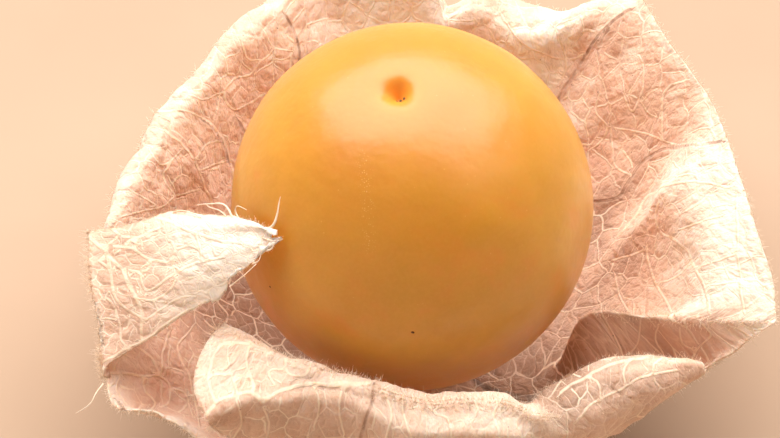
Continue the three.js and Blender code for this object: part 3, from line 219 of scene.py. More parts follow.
VEINS_FRONT = [
  (0.12, 1, [-10.84, -11.00, -10.11, -10.26, -9.32, -10.00, -8.53, -9.84, -7.89, -10.16, -6.68, -9.68, -5.37, -9.32, -3.53, -9.42, -2.21, -9.47]),
  (0.09, 1, [-10.63, -7.26, -9.47, -7.26, -8.53, -7.37, -7.63, -7.53, -6.68, -7.89, -5.89, -8.16]),
  (0.10, 1, [-8.53, -7.37, -8.68, -8.32, -8.42, -9.11, -8.32, -9.79]),
  (0.09, 1, [-11.26, -9.00, -10.37, -8.95, -9.58, -8.95, -8.42, -9.00]),
  (0.09, 1, [-6.68, -7.89, -6.63, -8.58, -6.32, -8.95, -5.63, -8.84, -5.37, -8.42]),
  (0.09, 1, [-10.37, -10.32, -10.68, -9.37, -10.53, -8.16, -10.00, -7.26]),
  (0.08, 1, [-9.47, -8.95, -9.16, -9.95]),
  (0.07, 1, [-7.58, -7.53, -7.58, -8.68, -7.21, -9.53]),
  (0.07, 1, [-6.63, -8.58, -7.58, -8.68]),
  (0.07, 1, [-9.68, -7.32, -9.58, -8.95]),
  (0.12, -1, [-2.00, -9.42, -2.05, -10.05, -2.11, -10.42, -2.42, -11.21, -2.74, -12.26]),
  (0.08, 1, [-1.42, -9.95, -1.05, -10.68, -1.26, -12.16]),
  (0.07, 1, [-0.53, -10.05, -0.37, -11.21, 0.16, -12.26]),
  (0.08, 1, [0.68, -10.05, 1.05, -10.79, 1.89, -11.21, 2.11, -12.26]),
  (0.07, 1, [1.74, -9.95, 1.47, -10.58, 1.05, -10.79]),
  (0.07, 1, [3.05, -10.05, 3.47, -10.68, 3.05, -11.47]),
  (0.08, 1, [4.63, -10.26, 4.21, -10.95, 4.63, -12.00]),
  (0.07, 1, [5.95, -10.68, 5.42, -11.32, 5.68, -12.16]),
  (0.07, 1, [-5.37, -9.32, -4.84, -10.16, -5.11, -11.47]),
  (0.07, 1, [-7.89, -10.16, -7.47, -11.21, -7.74, -12.26]),
  (0.07, 1, [-9.32, -10.00, -9.05, -11.21, -9.47, -12.26]),
  (0.07, 1, [-3.53, -9.42, -3.79, -10.42, -3.53, -11.74]),
  (0.09, 1, [7.79, -10.00, 8.42, -9.42, 9.26, -9.00, 10.11, -8.58, 11.05, -8.26, 12.26, -8.05]),
  (0.08, 1, [8.58, -11.21, 9.37, -10.42, 10.53, -9.79, 12.00, -9.00, 13.84, -8.58]),
  (0.07, 1, [9.89, -10.16, 9.79, -9.37, 9.26, -9.00]),
  (0.07, 1, [11.21, -9.42, 11.05, -8.84, 11.37, -8.26]),
  (0.07, 1, [12.53, -8.79, 12.63, -8.37, 13.16, -8.05]),
]
VEINS_FLAP = [
  (0.12, 1, [-17.16, -1.47, -16.58, -1.95, -15.89, -2.63, -15.26, -3.32, -14.89, -4.11, -14.47, -4.89, -14.26, -5.68, -14.26, -7.11]),
  (0.09, 1, [-16.37, -2.05, -15.47, -2.05, -14.68, -2.26, -13.79, -2.74, -12.95, -2.89, -12.42, -2.26, -12.74, -1.74]),
  (0.09, 1, [-15.89, -1.16, -15.11, -1.58, -14.47, -1.63, -13.79, -1.32, -13.11, -1.00]),
  (0.08, 1, [-14.68, -2.26, -14.47, -1.63]),
  (0.09, 1, [-15.26, -3.32, -14.32, -3.42, -13.79, -3.05, -13.79, -2.74]),
  (0.09, 1, [-14.89, -4.11, -13.79, -4.37, -13.00, -3.84, -12.21, -3.32, -11.16, -2.89, -10.00, -2.68]),
  (0.08, 1, [-14.47, -4.89, -13.68, -4.89, -12.74, -4.37, -12.32, -3.74]),
  (0.08, 1, [-14.26, -6.05, -13.37, -5.53, -12.47, -4.89, -11.68, -4.68]),
  (0.09, 1, [-16.42, -2.89, -15.79, -3.42, -15.74, -4.37, -15.26, -5.16, -14.26, -5.84]),
  (0.08, 1, [-16.63, -4.37, -16.00, -4.79, -15.47, -5.95, -15.37, -7.00, -14.84, -7.53]),
  (0.09, 1, [-13.47, -0.53, -12.47, -0.95, -11.42, -1.37, -10.37, -1.74, -9.05, -1.89]),
  (0.08, 1, [-16.21, -8.16, -15.37, -7.63, -14.32, -7.11, -13.00, -6.21, -12.11, -5.63, -10.89, -4.89]),
  (0.07, 1, [-12.95, -2.89, -12.21, -3.32]),
  (0.07, 1, [-14.32, -3.42, -14.11, -4.26]),
  (0.07, 1, [-15.89, -2.63, -15.79, -3.42]),
  (0.07, 1, [-15.74, -4.37, -16.42, -4.89]),
  (0.07, 1, [-13.68, -4.89, -13.37, -5.53]),
  (0.07, 1, [-16.21, -5.84, -15.47, -5.95]),
  (0.07, 1, [-11.42, -1.37, -11.16, -2.26, -11.16, -2.89]),
  (0.07, 1, [-12.42, -2.26, -11.68, -2.05, -11.16, -2.26]),
]


# ------------------------------------------------------------------ numbers
def smoothstep(a, b, x):
    t = np.clip((x - a) / (b - a), 0, 1)
    return t * t * (3 - 2 * t)


def hash01(i, j, k=0, seed=0):
    i = np.asarray(i, np.int64); j = np.asarray(j, np.int64); k = np.asarray(k, np.int64)
    h = (i * 73856093) ^ (j * 19349663) ^ (k * 83492791) ^ (seed * 2654435761)
    h = (h ^ (h >> 13)) * 1274126177
    h = (h ^ (h >> 16)) & 0x7FFFFFFF
    h = (h * 48271 + 11) & 0x7FFFFFFF
    h = (h ^ (h >> 15)) & 0xFFFFFF
    return h / float(0x1000000)


def noise3(p, seed=0):
    """value noise, -1..1, for points (...,3)"""
    f = np.floor(p).astype(np.int64)
    t = p - f
    t = t * t * t * (t * (t * 6 - 15) + 10)
    out = 0
    for a in (0, 1):
        for b in (0, 1):
            for c in (0, 1):
                w = (t[..., 0] if a else 1 - t[..., 0]) * (t[..., 1] if b else 1 - t[..., 1]) * (t[..., 2] if c else 1 - t[..., 2])
                out = out + w * hash01(f[..., 0] + a, f[..., 1] + b, f[..., 2] + c, seed)
    return out * 2 - 1


def fbm(p, octaves=3, seed=0, gain=0.5):
    out, amp = 0, 1.0
    for o in range(octaves):
        out = out + amp * noise3(p * 2.0 ** o + 17.3 * o, seed + o)
        amp *= gain
    return out


def ridged(p, octaves=3, seed=0):
    out, amp = 0, 1.0
    for o in range(octaves):
        out = out + amp * (1 - 2 * np.abs(noise3(p * 2.0 ** o + 9.1 * o, seed + o)))
        amp *= 0.5
    return out


def smooth_line(P, parts, creases=None):
    """P (n, m, 3): curve through n points, for m curves at once. parts: steps of each interval."""
    n = len(P)
    h = np.linalg.norm(np.diff(P, axis=0), axis=-1, keepdims=True) + 1e-6
    d = np.diff(P, axis=0) / h
    mL = np.zeros_like(P); mR = np.zeros_like(P)
    mL[0] = mR[0] = d[0]
    mL[-1] = mR[-1] = d[-1]
    for i in range(1, n - 1):
        if creases is not None and creases[i]:
            mL[i], mR[i] = d[i - 1], d[i]
            continue
        a, b = d[i - 1], d[i]
        c = (a * h[i] + b * h[i - 1]) / (h[i] + h[i - 1])
        lim = np.where(a * b > 0, 2.2, 0.8) * np.minimum(np.abs(a), np.abs(b))
        c = np.sign(c) * np.minimum(np.abs(c), lim)
        mL[i] = mR[i] = c
    out = []
    for i in range(n - 1):
        for s in range(parts[i]):
            t = s / parts[i]; t2 = t * t; t3 = t2 * t
            out.append((2 * t3 - 3 * t2 + 1) * P[i] + (t3 - 2 * t2 + t) * h[i] * mR[i]
                       + (3 * t2 - 2 * t3) * P[i + 1] + (t3 - t2) * h[i] * mL[i + 1])
    out.append(P[-1])
    return np.array(out)


def columns(table):
    cols = np.array([[r[i:i + 3] for i in range(1, len(r), 3)] for r in table], float)
    return cols, [r[0] for r in table]


def dense(table, step_u, step_v, coarse_rows=3, coarse=2.6):
    """The sheet's middle surface as a fine grid (nu, nv, 3), and each row's place along the column."""
    cols, cr = columns(table)
    lu = np.linalg.norm(np.diff(cols, axis=0), axis=-1).max(1)
    pu = [max(2, int(round(l / step_u))) for l in lu]
    lv = np.linalg.norm(np.diff(cols, axis=1), axis=-1)
    lv = np.percentile(lv, 80, axis=0)
    pv = [max(2, int(round(l / (step_v * (coarse if i < coarse_rows else 1))))) for i, l in enumerate(lv)]
    g = smooth_line(cols, pu, cr)                     # (nu, rows, 3)
    g = smooth_line(np.swapaxes(g, 0, 1), pv)         # (nv, nu, 3)
    g = np.swapaxes(g, 0, 1)
    rowpos = np.concatenate([i + np.arange(p) / p for i, p in enumerate(pv)] + [[len(pv)]])
    colpos = np.concatenate([i + np.arange(p) / p for i, p in enumerate(pu)] + [[len(pu)]])
    return g, colpos, rowpos


def grid_normals(g):
    du = np.empty_like(g); dv = np.empty_like(g)
    du[1:-1] = g[2:] - g[:-2]; du[0] = g[1] - g[0]; du[-1] = g[-1] - g[-2]
    dv[:, 1:-1] = g[:, 2:] - g[:, :-2]; dv[:, 0] = g[:, 1] - g[:, 0]; dv[:, -1] = g[:, -1] - g[:, -2]
    n = np.cross(du, dv)
    return n / (np.linalg.norm(n, axis=-1, keepdims=True) + 1e-12)


def net(q, cell, seed, warp=0.22, wfreq=1.6):
    """Net of veins on flat sheet coordinates q (...,2) mm: signed and plain distance to the
    nearest vein line (mm), and a number for the vein."""
    q3 = np.concatenate([q, np.zeros(q.shape[:-1] + (1,))], -1)
    q = q + warp * cell * np.stack([fbm(q3 / cell * wfreq, 2, seed + 5), fbm(q3 / cell * wfreq + 31.7, 2, seed + 9)], -1)
    p = q / cell
    f = np.floor(p).astype(np.int64)
    seeds, ids = [], []
    for a in range(-2, 3):
        for b in range(-2, 3):
            i = f[..., 0] + a; j = f[..., 1] + b
            s = np.stack([i + 0.5 + 0.86 * (hash01(i, j, 1, seed) - 0.5), j + 0.5 + 0.86 * (hash01(i, j, 2, seed) - 0.5)], -1)
            seeds.append(s); ids.append(i * 9176 + j)
    seeds = np.array(seeds); ids = np.array(ids)
    dd = np.sum((seeds - p) ** 2, -1)
    near = dd.argmin(0)[None]
    s0 = np.take_along_axis(seeds, near[..., None], 0)[0]
    id0 = np.take_along_axis(ids, near, 0)[0]
    best = np.full(p.shape[:-1], 1e9); other = np.zeros(p.shape[:-1], np.int64)
    for k in range(len(seeds)):
        e = seeds[k] - s0
        l = np.linalg.norm(e, axis=-1)
        mid = (seeds[k] + s0) / 2
        d = np.sum((mid - p) * e, -1) / np.maximum(l, 1e-9)
        d = np.where(l < 1e-6, 1e9, d)
        up = d < best
        best = np.where(up, d, best); other = np.where(up, ids[k], other)
    best = np.maximum(best, 0) * cell
    sign = np.where(id0 < other, 1.0, -1.0)
    pair = hash01(np.minimum(id0, other), np.maximum(id0, other), 3, seed)
    return best * sign, best, pair, hash01(id0, id0 * 7 + 1, 5, seed)


def drawn(xv, lines):
    """Signed and plain distance, in half widths, to the drawn veins, and the tone of the nearest."""
    shape = xv.shape[:-1]
    best = np.full(shape, 1e3); signed = np.full(shape, 1e3); tone = np.zeros(shape)
    for half, t, pts in lines:
        pts = np.array(pts, float).reshape(-1, 2)
        # a finer, slightly wandering line
        seg = np.linalg.norm(np.diff(pts, axis=0), axis=-1)
        P3 = np.concatenate([pts, np.zeros((len(pts), 1))], -1)[:, None]
        fine = smooth_line(P3, [max(2, int(l / 0.25)) for l in seg])[:, 0, :2]
        w = np.stack([noise3(np.stack([fine[:, 0] * 2.1, fine[:, 1] * 2.1, fine[:, 0] * 0 + 3], -1), 7),
                      noise3(np.stack([fine[:, 0] * 2.1, fine[:, 1] * 2.1, fine[:, 0] * 0 + 9], -1), 8)], -1)
        fine = fine + 0.05 * w
        lo, hi = fine.min(0) - 1.2, fine.max(0) + 1.2
        m = np.all((xv > lo) & (xv < hi), -1)
        if not m.any():
            continue
        q = xv[m]
        bd = np.full(len(q), 1e3); bs = np.full(len(q), 1e3)
        for a, b in zip(fine[:-1], fine[1:]):
            e = b - a; L2 = e @ e + 1e-12
            tt = np.clip(((q - a) @ e) / L2, 0, 1)
            r = q - (a + tt[:, None] * e)
            d = np.sqrt((r ** 2).sum(-1))
            s = np.sign(e[0] * (q[:, 1] - a[1]) - e[1] * (q[:, 0] - a[0]))
            up = d < bd
            bd = np.where(up, d, bd); bs = np.where(up, d * s, bs)
        bd = bd / half; bs = bs / half
        cur = best[m]; up = bd < cur
        bb = best[m]; bb[up] = bd[up]; best[m] = bb
        ss = signed[m]; ss[up] = bs[up]; signed[m] = ss
        tn = tone[m]; tn[up] = t; tone[m] = tn
    return signed, best, tone


def sheet_parts(table, lines, step, seed, kind):
    """All that one patch of the husk needs, on its fine grid."""
    g, cp, rp = dense(table, step, step)
    nu, nv = g.shape[:2]
    n = grid_normals(g)
    # flat coordinates of the sheet, mm
    rho = np.concatenate([np.zeros((nu, 1)), np.cumsum(np.linalg.norm(np.diff(g, axis=1), axis=-1), 1)], 1)
    if kind == "flap":
        xv = seen(g)
        q = np.stack([xv[..., 0] * 1.05 - 60, xv[..., 1] * 1.15], -1)
    else:
        r4 = np.argmin(np.abs(rp - 4)); th = np.unwrap(np.arctan2(g[:, r4, 1], g[:, r4, 0]))
        r0 = np.linalg.norm(g[:, 0, :2], axis=-1)[:, None]
        q = np.stack([(rho + r0) * np.cos(th)[:, None], (rho + r0) * np.sin(th)[:, None]], -1)
    q3 = np.concatenate([q, np.full((nu, nv, 1), 2.5)], -1)
    s1, d1, pair1, cell1 = net(q, 0.88 if kind == "flap" else 1.55, seed, 0.12, 1.3)
    s2, d2, pair2, cell2 = net(q, 0.72, seed + 3, 0.16, 1.2)
    xv = seen(g)
    sd, dd, tone = drawn(xv, lines)
    clear = smoothstep(1.4, 3.4, dd) 
    pair1 = clear * (0.55 + 0.45 * pair1)
    pair2 = np.full_like(pair2, 1.0 if kind == "flap" else 0.45) * (0.3 + 0.7 * smoothstep(1.2, 2.5, dd))
    if kind == "flap":
        pair1 = pair1 * 0
    # paling field: the tissue's own bleaching at rims and tips, mixed with painted light on faces turned from the key
    # and painted shade in hollows
    free = smoothstep(3.2, 4.5, rp)[None, :]
    # the folded flap whitens towards its far end: bleached tissue, partly painted light
    if kind == "flap":
        free = np.ones((1, nv))
        bleach_and_painted_shading = -0.08 + 1.12 * smoothstep(0.36, 0.76, cp / cp.max())[:, None] + np.zeros((1, nv))
    elif rp.max() < 9.5:
        # the open wall's rims and the right panel's outer band are paler: bleached tissue, partly painted light
        bleach_and_painted_shading = (smoothstep(4.6, 6.2, rp) * 0.7)[None, :] * (1 - 0.85 * smoothstep(19.0, 21.0, cp) * (1 - smoothstep(29.5, 31.0, cp)))[:, None] * (1 - 0.35 * smoothstep(7.0, 8.8, cp) * (1 - smoothstep(12.5, 14.0, cp)))[:, None]
        bleach_and_painted_shading = np.maximum(bleach_and_painted_shading, 0.85 * smoothstep(3.5, 5.0, rp)[None, :] * (smoothstep(3.0, 4.0, cp) * (1 - smoothstep(6.8, 9.0, cp)))[:, None])
        bleach_and_painted_shading = np.maximum(bleach_and_painted_shading, 0.42 * smoothstep(3.0, 4.4, rp)[None, :] * (smoothstep(6.0, 9.0, cp) * (1 - smoothstep(19.0, 22.0, cp)))[:, None])
    else:
        bleach_and_painted_shading = (smoothstep(6.2, 8.2, rp) * 0.20)[None, :] * (1 - smoothstep(12.3, 13.4, cp))[:, None]
    if rp.max() > 9.5:
        # painted light on the middle front lobe; painted shade at the lobes' foot and in the valley between the middle
        # and right lobes
        mid_lobe = (smoothstep(4.8, 7.8, cp) * (1 - smoothstep(10.6, 13.2, cp)))[:, None]
        bleach_and_painted_shading = np.maximum(bleach_and_painted_shading, 0.18 * mid_lobe * smoothstep(3.6, 5.6, rp)[None, :])
        bleach_and_painted_shading = bleach_and_painted_shading - 0.12 * smoothstep(9.5, 14.0, cp)[:, None] * (1 - smoothstep(7.6, 8.8, rp))[None, :]
        bleach_and_painted_shading = bleach_and_painted_shading - 0.90 * (smoothstep(11.7, 12.9, cp) * (1 - smoothstep(14.2, 16.6, cp)))[:, None] * smoothstep(7.2, 8.4, rp)[None, :]
    # painted shade: the steep pleat at the lower right, the deep part of the cup and other hollows and folds are
    # darkened; a few patches on the open wall are painted lighter (painted light)
    if kind == "wall":
        cup_painted_shade = (1 - smoothstep(2.2, 4.0, rp))[None, :]
        if rp.max() < 9.5:
            bleach_and_painted_shading = bleach_and_painted_shading - 0.42 * (1 - smoothstep(2.2, 3.0, cp))[:, None] * smoothstep(2.6, 3.4, rp)[None, :]
            bleach_and_painted_shading = bleach_and_painted_shading - 0.45 * ((smoothstep(7.6, 9.0, cp) * (1 - smoothstep(9.8, 10.8, cp)))[:, None] * (1 - smoothstep(6.0, 7.6, rp))[None, :])
            bleach_and_painted_shading = bleach_and_painted_shading - 0.80 * (smoothstep(13.8, 15.0, cp) * (1 - smoothstep(20.5, 22.0, cp)))[:, None] * smoothstep(5.8, 6.6, rp)[None, :]
            bleach_and_painted_shading = bleach_and_painted_shading + 0.55 * (smoothstep(12.2, 13.0, cp) * (1 - smoothstep(15.0, 16.0, cp)))[:, None] * (smoothstep(3.8, 4.6, rp) * (1 - smoothstep(5.6, 6.4, rp)))[None, :]
            bleach_and_painted_shading = bleach_and_painted_shading + 0.45 * (smoothstep(17.0, 18.0, cp) * (1 - smoothstep(20.5, 22.5, cp)))[:, None] * (smoothstep(3.8, 4.6, rp) * (1 - smoothstep(6.0, 6.8, rp)))[None, :]
            bleach_and_painted_shading = bleach_and_painted_shading - cup_painted_shade * (0.20 + 0.40 * (1 - smoothstep(2.5, 5.0, cp)))[:, None]
            bleach_and_painted_shading = bleach_and_painted_shading - 1.05 * (smoothstep(26.0, 27.5, cp) * (1 - smoothstep(31.5, 34.0, cp)))[:, None] * (1 - smoothstep(2.8, 3.6, rp))[None, :]
            bleach_and_painted_shading = bleach_and_painted_shading - 0.45 * (1 - smoothstep(4.8, 6.2, cp))[:, None] * (1 - smoothstep(2.2, 3.2, rp))[None, :]
            bleach_and_painted_shading = bleach_and_painted_shading - 0.35 * (smoothstep(5.8, 6.6, cp) * (1 - smoothstep(8.6, 9.6, cp)))[:, None] * (smoothstep(2.4, 3.2, rp) * (1 - smoothstep(4.0, 4.8, rp)))[None, :]
            bleach_and_painted_shading = bleach_and_painted_shading - 0.35 * (smoothstep(10.0, 11.0, cp) * (1 - smoothstep(12.0, 12.8, cp)))[:, None] * smoothstep(4.2, 5.2, rp)[None, :]
        else:
            bleach_and_painted_shading = bleach_and_painted_shading - 0.45 * cup_painted_shade - 0.25 * (1 - smoothstep(3.5, 7.5, cp))[:, None] * (1 - smoothstep(5.5, 6.2, rp))[None, :]
    bleach_and_painted_shading = np.clip(bleach_and_painted_shading + 0.25 * fbm(q3 * 0.5, 3, seed + 77) * (np.abs(bleach_and_painted_shading) > 0.02), -1, 1)
    # height of the sheet's middle, mm
    pale = np.exp(-(dd / 1.3) ** 2) * (tone > 0)
    dark = np.exp(-(dd / 1.6) ** 2) * (tone < 0)
    v1 = np.exp(-(d1 / 0.11) ** 2) * pair1
    puff = np.clip(d1 / 0.55, 0, 1) ** 1.3
    crumple = (0.13 * ridged(q3 * 0.22, 2, seed + 20) + 0.08 * fbm(q3 * 0.50, 2, seed + 31)) * (0.6 if kind == "flap" else 1.0)
    facet = 0.030 * ridged(q3 * 0.9, 2, seed + 41)
    puff2 = np.clip(d2 / 0.26, 0, 1)
    height = free * (crumple + facet + (0.0 if kind == "flap" else 0.045) * clear * (puff - 0.5) * (0.4 + cell1) + 0.010 * (puff2 - 0.5)) + 0.030 * pale - 0.05 * dark + 0.0 * v1
    thick = 0.050 + 0.022 * pale + 0.022 * dark + 0.012 * v1
    return dict(g=g, n=n, q=q, rho=rho, rp=rp, cp=cp, height=height, thick=thick, free=free,
                net1=np.stack([s1, d1, pair1], -1), net2=np.stack([s2, d2, pair2], -1),
                draw=np.stack([sd, dd, tone], -1), xv=xv, cell=cell1, bleach_and_painted_shading=bleach_and_painted_shading)


def ragged(g, amount, seed, side="end"):
    """Tears the far edge of a grid a little in and out, along its columns."""
    nu, nv = g.shape[:2]
    step = g[:, -1] - g[:, -2]
    step /= np.linalg.norm(step, axis=-1, keepdims=True) + 1e-9
    s = np.concatenate([[0], np.cumsum(np.linalg.norm(np.diff(g[:, -1], axis=0), axis=-1))])
    p = np.stack([s * 1.3, s * 0, s * 0 + seed], -1)
    a = fbm(p, 4, seed, 0.62) * amount
    k = np.linspace(0, 1, nv)
    w = smoothstep(1 - 10.0 / nv, 1.0, k)
    return g + (a[:, None] * w[None])[..., None] * step[:, None]


def shell(parts, name):
    """Closed thin shells of several patches, as one object."""
    V, Fq, A1, A2, A3, A4 = [], [], [], [], [], []
    base = 0
    for p in parts:
        g, n = p["g"], p["n"]
        mid = g + n * p["height"][..., None]
        n2 = grid_normals(mid)
        nu, nv = g.shape[:2]
        for s in (1, -1):
            V.append((mid + s * n2 * p["thick"][..., None]).reshape(-1, 3))
            A1.append(p["net1"].reshape(-1, 3)); A2.append(p["net2"].reshape(-1, 3)); A3.append(p["draw"].reshape(-1, 3))
            A4.append(np.concatenate([p["q"].reshape(-1, 2), p["bleach_and_painted_shading"].reshape(-1, 1)], -1))
        idx = np.arange(nu * nv).reshape(nu, nv)
        a, b, c, d = idx[:-1, :-1], idx[1:, :-1], idx[1:, 1:], idx[:-1, 1:]
        top = np.stack([a, b, c, d], -1).reshape(-1, 4)
        bot = np.stack([a, d, c, b], -1).reshape(-1, 4) + nu * nv
        m = nu * nv
        sides = []
        e = idx[:, 0]; sides.append(np.stack([e[:-1], e[:-1] + m, e[1:] + m, e[1:]], -1))
        e = idx[:, -1]; sides.append(np.stack([e[:-1], e[1:], e[1:] + m, e[:-1] + m], -1))
        e = idx[0, :]; sides.append(np.stack([e[:-1], e[1:], e[1:] + m, e[:-1] + m], -1))
        e = idx[-1, :]; sides.append(np.stack([e[:-1], e[:-1] + m, e[1:] + m, e[1:]], -1))
        Fq.append(np.concatenate([top, bot] + sides) + base)
        base += 2 * m
    V = np.concatenate(V); F = np.concatenate(Fq)
    ob = mesh_object(name, V, F)
    for nm, arr in (("net1", A1), ("net2", A2), ("draw", A3), ("sheet", A4)):
        at = ob.data.attributes.new(nm, "FLOAT_VECTOR", "POINT")
        at.data.foreach_set("vector", np.concatenate(arr).astype(np.float32).ravel())
    return ob


def mesh_object(name, V, F, smooth=True):
    """V in mm about the berry's foot; F quads or triangles."""
    me = bpy.data.meshes.new(name)
    co = ((V + OFF) * MM).astype(np.float32)
    k = F.shape[1]
    me.vertices.add(len(co)); me.vertices.foreach_set("co", co.ravel())
    me.loops.add(F.size); me.loops.foreach_set("vertex_index", F.astype(np.int32).ravel())
    me.polygons.add(len(F))
    me.polygons.foreach_set("loop_start", np.arange(0, F.size, k, dtype=np.int32))
    me.polygons.foreach_set("use_smooth", np.full(len(F), smooth))
    me.update(calc_edges=True)
    me.validate()
    ob = bpy.data.objects.new(name, me)
    bpy.context.scene.collection.objects.link(ob)
    return ob


def tubes(paths, radii, sides=3):
    """Closed tapered tubes along paths (k, m, 3), radii (k, m): vertices and quads/triangles as triangles."""
    k, m, _ = paths.shape
    t = np.empty_like(paths)
    t[:, 1:-1] = paths[:, 2:] - paths[:, :-2]; t[:, 0] = paths[:, 1] - paths[:, 0]; t[:, -1] = paths[:, -1] - paths[:, -2]
    t /= np.linalg.norm(t, axis=-1, keepdims=True) + 1e-12
    ref = np.where(np.abs(t[:, :1, 2:3]) > 0.9, np.array([1.0, 0, 0]), np.array([0, 0, 1.0]))
    u = np.cross(t, ref); u /= np.linalg.norm(u, axis=-1, keepdims=True) + 1e-12
    v = np.cross(t, u)
    ang = np.arange(sides) / sides * 2 * np.pi
    V = (paths[:, :, None] + radii[:, :, None, None] * (np.cos(ang)[None, None, :, None] * u[:, :, None] + np.sin(ang)[None, None, :, None] * v[:, :, None]))
    idx = np.arange(k * m * sides).reshape(k, m, sides)
    nx = np.roll(idx, -1, 2)
    a, b, c, d = idx[:, :-1], nx[:, :-1], nx[:, 1:], idx[:, 1:]
    T = [np.stack([a, b, c], -1).reshape(-1, 3), np.stack([a, c, d], -1).reshape(-1, 3)]
    for s in range(1, sides - 1):
        T.append(np.stack([idx[:, 0, 0], idx[:, 0, s + 1], idx[:, 0, s]], -1))
        T.append(np.stack([idx[:, -1, 0], idx[:, -1, s], idx[:, -1, s + 1]], -1))
    return V.reshape(-1, 3), np.concatenate(T)


# ------------------------------------------------------------------ husk
def torn_flap(p):
    """Frays the far end of the folded flap and the last third of its lower edge."""
    g = p["g"].copy()
    nu, nv = g.shape[:2]
    s = np.linspace(0, 1, nu); k = np.linspace(0, 1, nv)
    # the end: fingers of different length
    along = g[-1] - g[-6]; along /= np.linalg.norm(along, axis=-1, keepdims=True) + 1e-9
    fray = 0.55 * np.abs(noise3(np.stack([k * 5.0, k * 0, k * 0 + 4], -1), 31)) + 0.25 * noise3(np.stack([k * 14.0, k * 0, k * 0 + 8], -1), 32) - 0.15
    g += (smoothstep(0.90, 1.0, s)[:, None] * fray[None])[..., None] * along[None]
    # the lower edge
    down = g[:, -1] - g[:, -3]; down /= np.linalg.norm(down, axis=-1, keepdims=True) + 1e-9
    arc = np.concatenate([[0], np.cumsum(np.linalg.norm(np.diff(g[:, -1], axis=0), axis=-1))])
    a = 0.34 * fbm(np.stack([arc * 0.9, arc * 0, arc * 0 + 2], -1), 4, 37, 0.65) * smoothstep(0.45, 0.7, s)
    g += ((smoothstep(0.88, 1.0, k) ** 1.5)[None] * a[:, None])[..., None] * down[:, None]
    # the upper edge, less
    up = g[:, 0] - g[:, 2]; up /= np.linalg.norm(up, axis=-1, keepdims=True) + 1e-9
    a = 0.16 * fbm(np.stack([arc * 0.8, arc * 0, arc * 0 + 12], -1), 3, 39, 0.6) * smoothstep(0.25, 0.5, s)
    g += ((smoothstep(0.12, 0.0, k))[None] * a[:, None])[..., None] * up[:, None]
    p["g"] = g; p["n"] = grid_normals(g)
    return p


STEP = 0.20
open_wall = sheet_parts(OPEN_WALL, VEINS_OPEN, STEP, 3, "wall")
front_wall = sheet_parts(FRONT_WALL, VEINS_FRONT, STEP, 3, "wall")
left_flap = torn_flap(sheet_parts(LEFT_FLAP, VEINS_FLAP, STEP * 0.8, 3, "flap"))
husk = shell([open_wall, front_wall, left_flap], "physalis_husk")
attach(husk, "root"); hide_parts("husk")


# ------------------------------------------------------------------ hairs and torn threads
def sheet_points(p, iu, iv, side):
    g, n = p["g"], p["n"]
    mid = g + n * p["height"][..., None]
    nn = grid_normals(mid)
    pos = mid[iu, iv] + side[:, None] * nn[iu, iv] * (p["thick"][iu, iv] * 0.8)[:, None]
    dv = mid[:, 1:] - mid[:, :-1]
    dv = np.concatenate([dv, dv[:, -1:]], 1); dv /= np.linalg.norm(dv, axis=-1, keepdims=True) + 1e-9
    du = mid[1:] - mid[:-1]
    du = np.concatenate([du, du[-1:]], 0); du /= np.linalg.norm(du, axis=-1, keepdims=True) + 1e-9
    return pos, side[:, None] * nn[iu, iv], du[iu, iv], dv[iu, iv]


HV, HT, hair_base = [], [], 0


def add_hairs(pos, nrm, along, across, length, radius, lean=(1.0, 0.4, 0.3), segs=2):
    """pos, nrm (k,3): short bent hairs standing from the sheet"""
    global hair_base
    k = len(pos)
    if k == 0:
        return
    L = length * (0.45 + 0.75 * rng.random(k))
    d0 = lean[0] * nrm + lean[1] * (rng.random((k, 1)) * 1.2 - 0.2) * along + lean[2] * rng.normal(size=(k, 1)) * across + 0.25 * rng.normal(size=(k, 3))
    d0 /= np.linalg.norm(d0, axis=-1, keepdims=True)
    bend = rng.normal(size=(k, 3)) * 0.35
    t = np.linspace(0, 1, segs + 1)
    paths = pos[:, None] + (d0[:, None] * t[None, :, None] + bend[:, None] * (t ** 2)[None, :, None]) * L[:, None, None]
    r = radius * (0.7 + 0.6 * rng.random((k, 1))) * (1 - 0.75 * t)[None]
    V, T = tubes(paths, r, 3)
    HV.append(V); HT.append(T + hair_base); hair_base += len(V)


def hairs_where(p, weight, count, side, length, radius, lean):
    w = weight.copy(); w[w < 0] = 0
    flat = w.ravel() / w.sum()
    pick = rng.choice(len(flat), size=count, p=flat)
    iu, iv = np.unravel_index(pick, w.shape)
    sd = np.full(count, float(side)) if np.isscalar(side) else np.where(rng.random(count) < 0.5, 1.0, -1.0)
    pos, n, du, dv = sheet_points(p, iu, iv, sd)
    add_hairs(pos + 0.08 * rng.normal(size=(count, 1)) * du, n, dv, du, length, radius, lean)


HN = 1.0
OUT = 1          # the side of the sheets that faces outwards
ow_rp = open_wall["rp"][None, :] + 0 * open_wall["g"][..., 0]
ow_cp = open_wall["cp"][:, None] + 0 * open_wall["g"][..., 0]
edge = np.exp(-((ow_rp - 6.2) / 0.35) ** 2) * np.clip(open_wall["free"], 0, 1)
hairs_where(open_wall, edge, int(3000 * HN), 1, 0.34, 0.013, (1.0, 0.5, 0.3))
last = np.exp(-((ow_rp - ow_rp.max()) / 0.18) ** 2)
hairs_where(open_wall, last, int(2200 * HN), 0 * np.zeros(1), 0.30, 0.012, (0.6, 1.0, 0.4))
ridge = np.exp(-((ow_cp - 3.0) / 0.10) ** 2) * (ow_rp > 3.1) * (ow_rp < 6.3)
hairs_where(open_wall, ridge, int(420 * HN), -1, 0.30, 0.011, (1.0, 0.0, -0.8))
fw_rp = front_wall["rp"][None, :] + 0 * front_wall["g"][..., 0]
fw_cp = front_wall["cp"][:, None] + 0 * front_wall["g"][..., 0]
